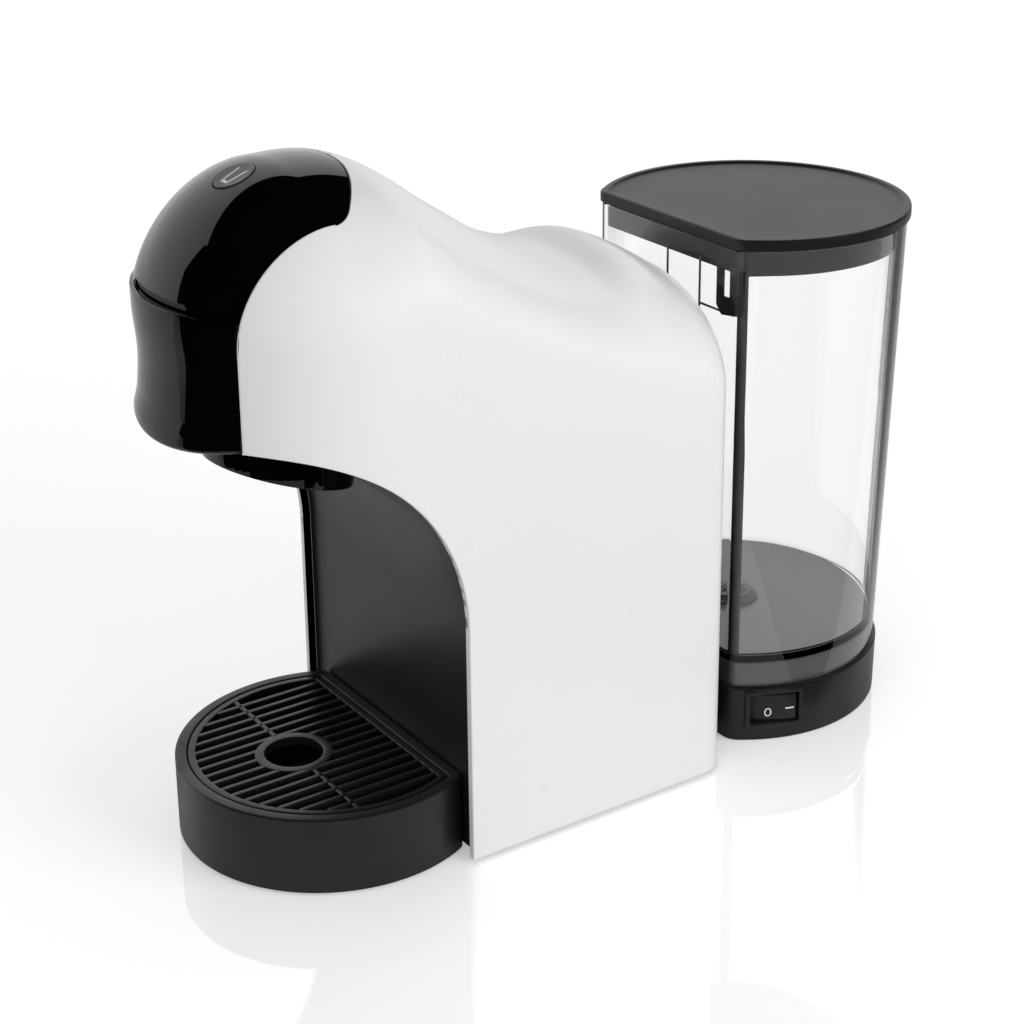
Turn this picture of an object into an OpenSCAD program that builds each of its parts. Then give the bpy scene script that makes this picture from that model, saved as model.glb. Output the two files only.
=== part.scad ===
// Pod coffee machine, millimetres. +Z is up and the front faces -Y. The origin is the middle of the
// footprint on the worktop. The sculpted body is lofted from cross-sections that follow a crest
// line and a shoulder line; everything inside is set out from the brew axis, the arch and the rear.

/* [Body] */
// Width of the body
body_w = 114; // [112:1:118]
// Depth of the body, from the middle of the round head to the rear wall
body_depth = 133.2; // [132:0.2:140]
// Height of the crest of the head
crest_h = 236.9; // [235:0.1:242]
// Wall of the body shells
wall = 2.4; // [2:0.1:2.6]
// Radius of the arch over the cup
arch_r = 70; // [68:1:71]
// Drop from the crest to the underside of the head
under_drop = 80.1; // [79.4:0.1:81.4]
// Distance from the middle of the head back to the edge of the arch
leg_setback = 22.2; // [21:0.1:23]
// Radius of the rear vertical corners
rear_corner_r = 12; // [9:0.5:14]
// Exponent of the rounded cross-sections
roundness = 2.1; // [2:0.05:2.3]
// Gap along visible seams
seam = 0.5; // [0.4:0.05:0.7]

/* [Feet and base] */
// Height of the base plate above the worktop
base_z = 1.5; // [1.2:0.1:2]
// Thickness of the base plate
base_t = 2.4; // [2:0.1:3]
// Radius of the rubber feet
foot_r = 6; // [4:0.5:7]

/* [Lever and button] */
// Half width of the black lever at the front
band_hw = 35.3; // [34:0.1:36]
// How much wider the lever gets towards its rear end, each side
band_flare = 3.5; // [2:0.1:4]
// Drop from the crest to the parting line between lever and drawer
part_drop = 37.9; // [36.4:0.1:38.9]
// Radius of the hinge pin
pin_r = 1.5; // [1.2:0.1:1.8]
// Radius of the brew button
button_r = 7; // [7:0.1:8.5]

/* [Pod drawer] */
// Inside radius of the pod holder at the top
pod_r = 24.5; // [23:0.1:25]
// Radius of the seat for the rim of the pod
pod_rim_r = 27.4; // [26.5:0.1:28]
// Rise from the underside of the head to the rim of the pod holder
rim_rise = 14.2; // [13.2:0.1:15.2]
// Drop from the underside of the head to the spout, at the middle of its slanted end
spout_drop = 22.8; // [18.8:0.5:24.8]
// Slope of the end of the spout, in degrees
spout_slope = 17.7; // [10:0.1:20]
// How far the grip of the drawer bulges past the head at its lower edge
chin_flare = 1.7; // [1:0.1:2.5]
// Depth of the waist of the grip
waist = 1; // [0.5:0.1:2]

/* [Drip tray] */
// Radius of the drip tray
tray_r = 53; // [51:0.5:54]
// Height of the top of the drip tray
tray_h = 28.5; // [27:0.5:31]
// Width of the rim around the grid
tray_rim = 4; // [3:0.1:5]
// Thickness of the grid
grid_t = 3; // [2:0.1:4]
// Number of slots across the grid
slot_count = 17; // [13:2:19]
// Width of a slot
slot_w = 3; // [2:0.1:3.4]
// Radius of the hole in the grid
grid_hole_r = 9.9; // [8:0.1:11]

/* [Water tank] */
// How much the rim of the tank lid is larger in radius than the head
lid_over = 0.5; // [-0.5:0.1:1]
// Height of the top of the tank lid
lid_top = 193.9; // [190:0.1:200]
// Thickness of the rim of the tank lid
lid_t = 4.4; // [3.5:0.1:5]
// Wall of the tank
tank_wall = 2.2; // [1.8:0.1:2.6]
// Height of the floor of the tank
tank_floor = 34; // [32:0.5:36]
// How much smaller the radius is at the foot of the tank than at its rim
tank_taper = 2; // [1:0.1:3]
// Gap between the body and the flat front of the tank
tank_gap = 11.3; // [9:0.1:13]
// Height of the dock that carries the tank
dock_h = 23.8; // [23:0.1:25]
// Radius of the water valve opening
valve_r = 5.5; // [5:0.1:6.5]

/* [Switch and cord inlet] */
// Length of the switch bezel
bezel_l = 23; // [21:0.5:25]
// Height of the switch bezel
bezel_h = 16; // [14:0.5:17]
// Bearing of the switch round the dock, in degrees forward of the side
switch_bearing = 23; // [20:1:26]
// Tilt of the rocker in the off position, in degrees
rocker_tilt = 8; // [5:1:9]
// Radius of the cord hole in the grommet
cord_r = 3.4; // [3:0.1:3.8]

/* [Pump] */
// Radius of the pump piston
piston_r = 5; // [4.5:0.1:5.5]

/* [Hidden] */
$fn = 64;

// Running clearance between pieces that slide, and the least clearance between loose pieces
fit = 0.05;
gap = 0.3;
eps = 0.01;

head_r = body_w / 2;
chin_r = head_r + chin_flare;
lid_r = head_r + lid_over;
// Distance from the flat front of the tank back to the middle of its round rear
lid_throw = lid_r - 16.7;
machine_len = chin_r + body_depth + tank_gap + lid_r + lid_throw;
head_y = chin_r - machine_len / 2;
rear_y = head_y + body_depth;
leg_y = head_y + leg_setback;
brew_y = head_y - 13.9;
under_z = crest_h - under_drop;
part_z = crest_h - part_drop;
rim_z = under_z + rim_rise;
spout_z = under_z - spout_drop;

// Crest and shoulder of the body at seven stations: share of the body depth behind the middle of
// the head, drop of the crest below crest_h, drop of the shoulder below crest_h.
STATIONS = [
    [-0.092, 0, 48.7], [0.096, 2.5, 41.3], [0.283, 18.8, 53.8], [0.471, 34.8, 64.9],
    [0.659, 43.5, 77.1], [0.809, 43.4, 86.4], [1, 57.2, 91.4]
];
LAST = len(STATIONS) - 1;
// Exponent of the front of the dome, seen from the side
nose_exp = 1.77;

function station_y(i) = head_y + STATIONS[i][0] * body_depth;
function station_slope(i, k) =
    i == 0 ? 0
    : i == LAST ? (STATIONS[i][k] - STATIONS[i - 1][k]) / (station_y(i) - station_y(i - 1))
    : (STATIONS[i + 1][k] - STATIONS[i - 1][k]) / (station_y(i + 1) - station_y(i - 1));
function station_at(y, i = 0) = i >= LAST - 1 || y < station_y(i + 1) ? i : station_at(y, i + 1);
// Smooth curve through column k of the stations
function drop_at(y, k) =
    let (i = station_at(y), h = station_y(i + 1) - station_y(i), t = max(0, (y - station_y(i)) / h))
    (2 * t ^ 3 - 3 * t ^ 2 + 1) * STATIONS[i][k] + (t ^ 3 - 2 * t ^ 2 + t) * h * station_slope(i, k)
    + (3 * t ^ 2 - 2 * t ^ 3) * STATIONS[i + 1][k] + (t ^ 3 - t ^ 2) * h * station_slope(i + 1, k);
function shoulder_z(y) = crest_h - drop_at(y, 2);
// Crest height, with the dome falling to the shoulder at the very front; r is the head's radius
function crest_z(y, r) =
    y > station_y(0) ? crest_h - drop_at(y, 1)
    : let (s = min(1, (station_y(0) - y) / (station_y(0) - head_y + r)))
      crest_h - STATIONS[0][2] * (1 - (1 - s ^ nose_exp) ^ (1 / nose_exp));
// Half width in plan: round in front of the middle of the head, a corner radius at the rear
function half_w(y, inset) =
    let (r = head_r - inset, c = rear_corner_r - inset, ry = rear_y - inset)
    y < head_y ? sqrt(max(0, r ^ 2 - (y - head_y) ^ 2))
    : y > ry - c ? r - c + sqrt(max(0, c ^ 2 - (y - ry + c) ^ 2))
    : r;
// Points [x, z] over the top of a cross-section, from the right shoulder to the left one
ARCH_STEPS = 24;
function section(y, inset) =
    let (w = half_w(y, inset), zs = shoulder_z(y) - inset / 2,
         h = max(0.5, crest_z(y, head_r - inset) - inset - zs))
    [for (j = [0:ARCH_STEPS]) let (a = 180 * j / ARCH_STEPS, c = cos(a))
        [w * sign(c) * abs(c) ^ (2 / roundness), zs + h * sin(a) ^ (2 / roundness)]];

// Closed skin over a list of rings of points, all of the same length
module skin(rings) {
    n = len(rings[0]);
    m = len(rings);
    polyhedron(
        points = [for (r = rings) each r],
        faces = concat(
            [[for (j = [n - 1:-1:0]) j]],
            [[for (j = [0:n - 1]) (m - 1) * n + j]],
            [for (i = [0:m - 2]) for (j = [0:n - 1]) let (k = (j + 1) % n)
                each [[i * n + j, i * n + k, (i + 1) * n + k], [i * n + j, (i + 1) * n + k, (i + 1) * n + j]]]
        ),
        convexity = 8
    );
}

// Tube along a path of points
module tube(path, r, sides = 10) {
    n = len(path);
    dirs = [for (i = [0:n - 1]) let (d = path[min(i + 1, n - 1)] - path[max(i - 1, 0)]) d / norm(d)];
    side = [for (d = dirs) let (s = cross(d, abs(d[2]) < 0.9 ? [0, 0, 1] : [1, 0, 0])) s / norm(s)];
    skin([for (i = [0:n - 1]) [for (j = [0:sides - 1]) let (a = -360 * j / sides)
        path[i] + r * (cos(a) * side[i] + sin(a) * cross(side[i], dirs[i]))]]);
}
// Points of a bend through three corners, blended to a smooth run
function bend(p, steps = 6) = [for (i = [0:len(p) - 2]) each
    let (a = p[max(0, i - 1)], b = p[i], c = p[i + 1], d = p[min(len(p) - 1, i + 2)])
    [for (j = [0:(i == len(p) - 2 ? steps : steps - 1)]) let (t = j / steps)
        0.5 * (2 * b + (c - a) * t + (2 * a - 5 * b + 4 * c - d) * t ^ 2
        + (3 * b - a - 3 * c + d) * t ^ 3)]];

// Stations along the body at which the loft has a ring: close together round the nose
function loft_y(inset) = concat(
    [for (a = [88, 80, 72, 62, 52, 42, 32, 22, 11]) head_y - (head_r - inset) * sin(a)],
    [for (t = [0:0.0625:0.9]) head_y + t * body_depth],
    [for (a = [0:18:90]) rear_y - rear_corner_r + (rear_corner_r - inset) * sin(a)]
);
// Solid body form, from a level bottom up, set in by a wall
module form(inset, bottom) {
    skin([for (y = loft_y(inset)) concat(
        [[-half_w(y, inset), y, bottom], [half_w(y, inset), y, bottom]],
        [for (q = section(y, inset)) [q[0], y, q[1]]]
    )]);
}

// Space under the head and in front of the column, as a prism across the machine
module arch_space(grow) {
    r = arch_r + grow;
    rotate([90, 0, 90])
        translate([0, 0, -body_w])
            linear_extrude(2 * body_w)
                difference() {
                    translate([leg_y - arch_r - body_w, -arch_r])
                        square([body_w + r, under_z + grow + arch_r]);
                    translate([leg_y - arch_r, under_z - arch_r])
                        difference() {
                            square(2 * r);
                            circle(r, $fn = 96);
                        }
                }
}

// Plan of the black band over the nose: a tapered strip with a rounded, bowed rear end
band_end = head_y + 7.8;
band_corner = 8;
module band_plan(inset) {
    offset(delta = -inset)
        offset(r = band_corner)
            offset(delta = -band_corner)
                intersection() {
                    polygon([
                        [-band_hw, head_y - 46], [-band_hw - band_flare, head_y - 8],
                        [-band_hw - band_flare, band_end], [band_hw + band_flare, band_end],
                        [band_hw + band_flare, head_y - 8], [band_hw, head_y - 46],
                        [band_hw, head_y - 2 * head_r], [-band_hw, head_y - 2 * head_r]
                    ]);
                    union() {
                        translate([0, band_end - head_r])
                            circle(head_r);
                        translate([-head_r, head_y - 3 * head_r])
                            square([2 * head_r, 3 * head_r - 20]);
                    }
                }
}

// ---- body ----

module outer_shell() {
    color("white")
        resize([body_w, 0, 0])
            difference() {
                form(0, base_z);
                form(wall, -1);
                arch_space(0);
                translate([0, 0, base_z - 1])
                    linear_extrude(crest_h)
                        band_plan(0);
                rear_opening(0);
            }
}
rear_margin = 5;
// Opening in the rear wall, which follows the section of the body
module rear_opening(inset) {
    m = rear_margin + inset;
    s = (head_r - rear_corner_r - m + 4) / head_r;
    low = inset > 0 ? base_z + base_t : 0;
    rotate([90, 0, 0])
        translate([0, 0, -rear_y - wall])
            linear_extrude(3 * wall)
                polygon(concat(
                    [[-head_r * s, low], [head_r * s, low]],
                    [for (q = section(rear_y, 0)) [q[0] * (1 - (m + 1) / half_w(rear_y, 0)), q[1] - m]]
                ));
}

// How far the black inner panel lies behind the edge of the arch
recess = 3;
module inner_front_panel() {
    w = head_r - wall - gap;
    slot = holder_r + 1.2;
    color([0.1, 0.1, 0.11])
        difference() {
            union() {
                intersection() {
                    translate([0, 0, base_z + base_t])
                        linear_extrude(crest_h)
                            union() {
                                translate([0, head_y])
                                    circle(w, $fn = 128);
                                translate([-w, head_y])
                                    square([2 * w, body_depth / 2]);
                            }
                    difference() {
                        arch_space(recess + wall);
                        arch_space(recess);
                    }
                }
                // bosses for the front screws
                for (s = [-1, 1])
                    translate([s * front_screw_x - 4, leg_y + recess + wall - eps, base_z + base_t])
                        cube([8, 10, 12]);
            }
            for (s = [-1, 1])
                translate([s * front_screw_x, leg_y + 12, 0])
                    cylinder(h = 12, r = screw_r + fit, $fn = 24);
            // the drawer and its pod holder pass here
            translate([-slot, head_y - body_w, under_z - arch_r])
                cube([2 * slot, body_w + brew_y - head_y + slot + 2, body_w]);
            translate([-grip_hw - 1, head_y - body_w, under_z])
                cube([2 * grip_hw + 2, body_w - head_r + 23, body_w]);
        }
}

module rear_panel() {
    color([0.16, 0.16, 0.17])
        difference() {
            union() {
                intersection() {
                    rear_opening(gap);
                    translate([-body_w, rear_y - wall, 0])
                        cube([2 * body_w, wall - 0.4, crest_h]);
                }
                // bosses for the rear screws
                for (s = [-1, 1])
                    translate([s * rear_screw_x - 4, rear_y - 9, base_z + base_t])
                        cube([8, 9 - wall + eps, 12]);
            }
            for (s = [-1, 1])
                translate([s * rear_screw_x, rear_y - 6, 0])
                    cylinder(h = 12, r = screw_r + fit, $fn = 24);
            // passage to the dock
            translate([-neck_w / 2 + wall, rear_y - 3 * wall, -1])
                cube([neck_w - 2 * wall, 6 * wall, dock_top - 4 + 1]);
            // louvres
            for (i = [0:5])
                translate([-16, rear_y - 3 * wall, 62 + 8 * i])
                    cube([32, 6 * wall, 3]);
        }
}

// ---- D-shaped plan shared by the dock, the tank and its lid ----

lid_y = rear_y + tank_gap + lid_throw;
dock_y = lid_y - 4.2;
tank_flat = rear_y + tank_gap;
d_corner_r = 7;
d_corner_x = lid_r - 12.8;
// Points of the D: an arc of radius r about cy, straight flanks, round corners at the flat front.
// The tangent from corner circle to big circle leaves both at the same bearing.
function d_points(r, cy, flat, inset = 0) =
    let (cr = d_corner_r - inset, fy = flat + d_corner_r, dy = fy - cy,
         cx = max(d_corner_x - d_corner_r, sqrt(max(0, (r - d_corner_r) ^ 2 - dy ^ 2))),
         d = norm([cx, dy]), base = atan2(dy, cx),
         b = base + acos(min(1, (r - inset - cr) / d)), n = 36, m = 6)
    concat(
        [for (i = [0:n]) let (a = b + (180 - 2 * b) * i / n)
            [(r - inset) * cos(a), cy + (r - inset) * sin(a)]],
        [for (i = [0:m]) let (a = 180 - b + (b + 90) * i / m) [-cx + cr * cos(a), fy + cr * sin(a)]],
        [for (i = [0:m]) let (a = -90 + (b + 90) * i / m) [cx + cr * cos(a), fy + cr * sin(a)]]
    );
function at_z(points, z) = [for (p = points) [p[0], p[1], z]];

dock_r = lid_r - 2;
dock_draft = 0.4;
dock_top = dock_h;
dock_floor_t = 2.4;

module base_plate() {
    w = head_r - wall - gap;
    color([0.12, 0.12, 0.13])
        difference() {
            union() {
                translate([-w, leg_y + 3 + gap, base_z])
                    cube([2 * w, rear_y - rear_corner_r - leg_y - 3 - gap, base_t]);
                for (s = [-1, 1])
                    translate([s * (head_r - rear_corner_r), rear_y - rear_corner_r, base_z])
                        cylinder(h = base_t, r = rear_corner_r - wall - gap, $fn = 48);
                translate([rear_corner_r - head_r, rear_y - rear_corner_r - eps, base_z])
                    cube([body_w - 2 * rear_corner_r, rear_corner_r - wall - gap + eps, base_t]);
                // tongue that locates the drip tray
                translate([-tongue_w / 2, head_y - tray_r + 24, base_z])
                    cube([tongue_w, tray_r + leg_setback, base_t]);
                // neck under the rear wall to the dock
                translate([-neck_w / 2 + wall + gap, rear_y - wall - 2 * gap, base_z])
                    cube([neck_w - 2 * wall - 2 * gap, tank_gap + wall + 12, base_t]);
                translate([0, 0, base_z])
                    linear_extrude(base_t)
                        polygon(d_points(dock_r - dock_draft, dock_y, tank_flat + 0.6, wall + gap));
            }
            for (p = SCREWS)
                translate([p[0], p[1], 0])
                    cylinder(h = 10, r = screw_r + 0.2, $fn = 24);
            for (p = FEET)
                translate([p[0], p[1], 0])
                    cylinder(h = base_z + 1, r = foot_r, $fn = 32);
        }
}
tongue_w = 52;
neck_w = 60;
screw_r = 1.5;
front_screw_x = 44;
rear_screw_x = 36;
SCREWS = [
    [-front_screw_x, leg_y + 12], [front_screw_x, leg_y + 12],
    [-rear_screw_x, rear_y - 6], [rear_screw_x, rear_y - 6]
];
FEET = [
    [-44, leg_y + 26], [44, leg_y + 26], [-30, dock_y + 34], [30, dock_y + 34],
    [-15, head_y - 22], [15, head_y - 22]
];

module rubber_feet() {
    color([0.2, 0.2, 0.2])
        for (p = FEET)
            translate([p[0], p[1], 0])
                union() {
                    cylinder(h = base_z, r = foot_r, $fn = 32);
                    cylinder(h = base_z + 1, r = foot_r - 1, $fn = 32);
                }
}

module base_screws() {
    color("silver")
        for (p = SCREWS)
            translate([p[0], p[1], base_z - 1])
                union() {
                    cylinder(h = 1, r = 2.8, $fn = 24);
                    cylinder(h = 10, r = screw_r, $fn = 24);
                }
}

// ---- brew head ----

hinge_y = head_y + 21;
hinge_z = crest_h - 14.9;
rail_in = 34.2;
rail_out = 38.4;
cheek_t = 2.5;
runner_hw = 36.4;
rail_z = under_z + recess + wall;
tray_z = rail_z + 2 + gap;
tray_t = 3;
holder_r = 27;
guide_r = 6;
guide_z = [crest_h - 32.9, crest_h - 23.9];
bridge_z = crest_h - 46.9;

module brew_frame() {
    color([0.3, 0.3, 0.31])
        difference() {
            union() {
                for (s = [-1, 1]) {
                    // cheek
                    translate([s * (rail_out + cheek_t / 2) - cheek_t / 2, 0, 0])
                        rotate([90, 0, 90])
                            linear_extrude(cheek_t)
                                polygon([
                                    [brew_y - 20, rail_z], [head_y + 54, rail_z],
                                    [head_y + 54, rail_z + 8], [head_y + 38, bridge_z + 6],
                                    [head_y + 26, bridge_z + 8], [head_y - 8, guide_z[0] + 5],
                                    [head_y - 22, guide_z[0] + 5], [brew_y - 20, rail_z + 13]
                                ]);
                    // rail
                    translate([s > 0 ? rail_in : -rail_out - eps, brew_y - 20, rail_z])
                        difference() {
                            cube([rail_out - rail_in + eps, head_y + 54 - brew_y + 20, 8]);
                            translate([s > 0 ? -1 : rail_out - runner_hw - gap + eps, -1, 2])
                                cube([runner_hw - rail_in + gap + 1, 120, tray_t + 2 * gap]);
                        }
                    // ear of the hinge
                    translate([s * 17 - 2, 0, 0])
                        rotate([90, 0, 90])
                            linear_extrude(4)
                                polygon([
                                    [hinge_y - 1.5, bridge_z + 7], [hinge_y + 14, bridge_z + 7],
                                    [hinge_y + 3, hinge_z + 0.5], [hinge_y - 3, hinge_z - 0.5]
                                ]);
                    translate([s * 17 - 2, hinge_y, hinge_z])
                        rotate([0, 90, 0])
                            cylinder(h = 4, r = pin_r + 1.7, $fn = 40);
                }
                // bridge under the ears
                translate([-rail_out - eps, hinge_y - 1.5, bridge_z])
                    cube([2 * (rail_out + eps), 15.5, 8]);
                // bar that guides the needle block
                translate([-rail_out - eps, brew_y - 8, guide_z[0]])
                    cube([2 * (rail_out + eps), 16, 5]);
                translate([0, brew_y, guide_z[0]])
                    cylinder(h = guide_z[1] - guide_z[0], r = guide_r + 2.4, $fn = 48);
            }
            translate([0, brew_y, guide_z[0] - 10])
                cylinder(h = 40, r = guide_r + fit, $fn = 48);
            translate([-30, hinge_y, hinge_z])
                rotate([0, 90, 0])
                    cylinder(h = 60, r = pin_r + fit, $fn = 40);
        }
}

module hinge_pin() {
    color("silver")
        translate([-19.5, hinge_y, hinge_z])
            rotate([0, 90, 0])
                cylinder(h = 39, r = pin_r, $fn = 40);
}

module brew_tube() {
    color([0.85, 0.85, 0.82])
        tube(bend([
            [0, brew_y + 8.7, guide_z[1] - 2], [0, brew_y + 12.5, guide_z[1] - 2],
            [2.5, brew_y + 16.5, guide_z[1] - 6], [9, brew_y + 20, guide_z[1] - 12],
            [22, brew_y + 23, bridge_z + 3], [27, brew_y + 31, bridge_z - 7],
            [26, brew_y + 44, bridge_z - 14], [20, thermo_y - 12, bridge_z - 22],
            [20, thermo_y - 3, thermo_z + thermo_h + 6], [20, thermo_y, thermo_z + thermo_h + 0.3]
        ], 4), 1.6, 8);
}

thermo_y = head_y + 55;
thermo_z = under_z - 38.8;
thermo_h = 38;

module thermoblock() {
    color([0.7, 0.7, 0.72])
        union() {
            translate([-35, thermo_y - 12, thermo_z])
                cube([70, 24, thermo_h]);
            // heater tubes cast into both long faces
            for (z = [10, 28])
                translate([-41, thermo_y, thermo_z + z])
                    rotate([0, 90, 0])
                        cylinder(h = 82, r = 4, $fn = 32);
        }
}

module thermostats() {
    color([0.9, 0.88, 0.8])
        for (x = [-20, 0])
            translate([x, thermo_y, thermo_z + thermo_h])
                union() {
                    cylinder(h = 4, r = 7, $fn = 40);
                    translate([-5, -1.5, 3])
                        cube([10, 3, 3]);
                }
}

module thermoblock_bracket() {
    color([0.6, 0.6, 0.62])
        for (x = [-33, 25])
            translate([x, 0, base_z + base_t])
                difference() {
                    translate([0, thermo_y - 12, 0])
                        cube([8, 26, thermo_z - base_z - base_t]);
                    translate([-1, thermo_y - 10, 2])
                        cube([10, 26, thermo_z - base_z - base_t - 4]);
                }
}

// ---- water path ----

pump_x = -24;
pump_y = rear_y - 35.2;
pump_z = 26;
coil_w = 36;

module pump_body() {
    color([0.75, 0.7, 0.6])
        difference() {
            translate([pump_x, pump_y, pump_z])
                union() {
                    translate([0, 0, -6])
                        cylinder(h = 6 + eps, r = 3.5, $fn = 32);
                    cylinder(h = 24, r = 9, $fn = 48);
                    translate([-coil_w / 2, -coil_w / 2, 24 - eps])
                        cube([coil_w, coil_w, 34]);
                    translate([0, 0, 58 - 2 * eps])
                        cylinder(h = 22, r = 10, $fn = 48);
                    translate([0, 0, 80 - 3 * eps])
                        cylinder(h = 10, r = 3.5, $fn = 32);
                }
            translate([pump_x, pump_y, pump_z + 4])
                cylinder(h = 70, r = piston_r + fit, $fn = 48);
        }
}

module pump_piston() {
    color("silver")
        translate([pump_x, pump_y, pump_z + 8])
            cylinder(h = 40, r = piston_r, $fn = 48);
}

module piston_spring() {
    color("gray")
        tube([for (i = [0:80]) let (a = i * 27) [
            pump_x + (piston_r - 1.2) * cos(a), pump_y + (piston_r - 1.2) * sin(a),
            pump_z + 48.7 + 24.4 * i / 80
        ]], 0.5, 6);
}

module pump_mounts() {
    color([0.15, 0.15, 0.16])
        for (z = [8, 66])
            translate([pump_x, pump_y, pump_z + z])
                difference() {
                    union() {
                        cylinder(h = 12, r = 12.5, $fn = 48);
                        cylinder(h = 3, r = 15, $fn = 48);
                    }
                    translate([0, 0, -1])
                        cylinder(h = 20, r = (z < 30 ? 9 : 10) + fit, $fn = 48);
                }
}

module pump_cradle() {
    color([0.22, 0.22, 0.24])
        difference() {
            union() {
                for (z = [11, 69])
                    translate([pump_x - 16, pump_y - 16, pump_z + z])
                        cube([32, 38, 4]);
                translate([pump_x - 16, pump_y + 22 - eps, base_z + base_t])
                    cube([32, 4, pump_z + 73 - base_z - base_t]);
                translate([pump_x - 16, pump_y + 8, base_z + base_t])
                    cube([32, 18, 3]);
            }
            for (z = [10, 68])
                translate([pump_x, pump_y, pump_z + z])
                    cylinder(h = 8, r = 12.5 + fit, $fn = 48);
        }
}

flow_x = 22;
flow_y = rear_y - 37.2;
flow_z = base_z + base_t;

module flow_meter() {
    color([0.85, 0.85, 0.85])
        difference() {
            translate([flow_x, flow_y, flow_z])
                union() {
                    cylinder(h = 26, r = 13, $fn = 48);
                    translate([0, 0, 26 - eps])
                        cylinder(h = 8, r = 3.5, $fn = 32);
                    translate([0, 0, 10])
                        rotate([-90, 0, 0])
                            cylinder(h = 21, r = 3, $fn = 32);
                }
            translate([flow_x, flow_y, flow_z + 3])
                cylinder(h = 20, r = 11, $fn = 48);
        }
}

module flow_rotor() {
    color([0.3, 0.5, 0.8])
        translate([flow_x, flow_y, flow_z + 3.5])
            union() {
                cylinder(h = 19, r = 1.5, $fn = 24);
                translate([0, 0, 3])
                    cylinder(h = 12, r = 4, $fn = 32);
                for (a = [0:60:300])
                    rotate([0, 0, a])
                        translate([3.5, -0.6, 4])
                            cube([6.3, 1.2, 10]);
            }
}

module suction_hose() {
    color([0.8, 0.82, 0.84])
        union() {
            tube(bend([
                [flow_x, flow_y + 21.3, flow_z + 10], [flow_x, flow_y + 28, flow_z + 10],
                [21, rear_y + 2, 12.6], [17, rear_y + 15, 12], [9, dock_y - 20, 12],
                [2, dock_y - 13.5, 12], [0, dock_y - valve_r - 3.3, 12]
            ], 5), 3, 10);
            tube(bend([
                [flow_x, flow_y, flow_z + 34.3], [flow_x, flow_y, flow_z + 40], [12, flow_y - 3, flow_z + 48],
                [-4, pump_y - 26, 36], [-18, pump_y - 24, 16], [pump_x, pump_y - 8, 11],
                [pump_x, pump_y, 14], [pump_x, pump_y, pump_z - 6.3]
            ], 5), 3, 10);
        }
}

module pressure_hose() {
    color([0.9, 0.9, 0.86])
        tube(bend([
            [pump_x, pump_y, pump_z + 90.3], [pump_x, pump_y, pump_z + 96],
            [pump_x, pump_y - 10, pump_z + 106],
            [pump_x, thermo_y + 24, thermo_z + 18], [pump_x, thermo_y + 12.3, thermo_z + 18]
        ], 5), 2.5, 8);
}

// ---- electronics ----

board_x = head_r - 13;

module control_board() {
    color([0.1, 0.35, 0.15])
        union() {
            translate([board_x, head_y + 40, 34])
                cube([1.6, 70, 78]);
            translate([board_x - 16, head_y + 48, 44])
                cube([16 + eps, 22, 18]);
            translate([board_x - 12, head_y + 76, 46])
                cube([12 + eps, 16, 20]);
            for (drop = [26, 40])
                translate([board_x - 18, head_y + 56, thermo_z - drop])
                    rotate([0, 90, 0])
                        cylinder(h = 18 + eps, r = 5, $fn = 32);
            translate([board_x - 8, head_y + 78, 84])
                cube([8 + eps, 18, 10]);
        }
}

module board_bracket() {
    color([0.25, 0.25, 0.27])
        union() {
            translate([board_x + 5.6, head_y + 42, base_z + base_t])
                cube([2, 66, 104]);
            translate([board_x + 1.6, head_y + 42, base_z + base_t])
                cube([6, 66, 2]);
            for (y = [46, 104])
                for (z = [40, 106])
                    translate([board_x + 1.6, head_y + y, z])
                        rotate([0, 90, 0])
                            cylinder(h = 4.5, r = 2.5, $fn = 24);
        }
}

// ---- dock ----

// Depth of the flat facet that carries the switch
facet = 1.2;
// Frame of the switch: its face looks out of the dock at the bearing, with local +Y along the wall
module at_switch(out) {
    translate([0, dock_y, 0])
        rotate([0, 0, -switch_bearing])
            translate([dock_r - facet + out, 0, base_z + base_t + (dock_top - base_z - base_t) / 2])
                children();
}

grommet_z = 11;
module tank_dock() {
    flat = tank_flat + 0.6;
    color([0.11, 0.11, 0.12])
        resize([0, 0, 0])
            difference() {
                union() {
                    difference() {
                        skin([
                            at_z(d_points(dock_r, dock_y, flat), dock_top),
                            at_z(d_points(dock_r - dock_draft, dock_y, flat), base_z)
                        ]);
                        skin([
                            at_z(d_points(dock_r, dock_y, flat, wall), dock_top - dock_floor_t),
                            at_z(d_points(dock_r - dock_draft, dock_y, flat, wall), base_z - 1)
                        ]);
                    }
                    // neck to the rear wall of the body
                    translate([-neck_w / 2, rear_y + eps, base_z])
                        cube([neck_w, tank_gap + 2, dock_top - base_z - 2]);
                    // block behind the switch face
                    at_switch(0)
                        translate([-6.5, -bezel_l / 2 - 0.8, -bezel_h / 2 - 0.8])
                            cube([5, bezel_l + 1.6, bezel_h + 1.6]);
                }
                at_switch(0)
                    translate([-7, -bezel_l / 2 + 1, -bezel_h / 2 + 1])
                        cube([20, bezel_l - 2, bezel_h - 2]);
                at_switch(0)
                    translate([0, -bezel_l / 2 - 0.2, -bezel_h / 2 - 0.2])
                        cube([10, bezel_l + 0.4, bezel_h + 0.4]);
                // passage for the water and the wires
                translate([-neck_w / 2 + wall, rear_y - 1, base_z - 1])
                    cube([neck_w - 2 * wall, tank_gap + 6, dock_top - base_z - 4]);
                // hole for the water inlet
                translate([0, dock_y, dock_top - 6])
                    cylinder(h = 10, r = valve_r + 2 + fit, $fn = 48);
                // hole for the cord grommet
                translate([0, dock_y + dock_r - 9, grommet_z])
                    rotate([-90, 0, 0])
                        cylinder(h = 20, r = cord_r + 2.2 + fit, $fn = 40);
            }
}

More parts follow.
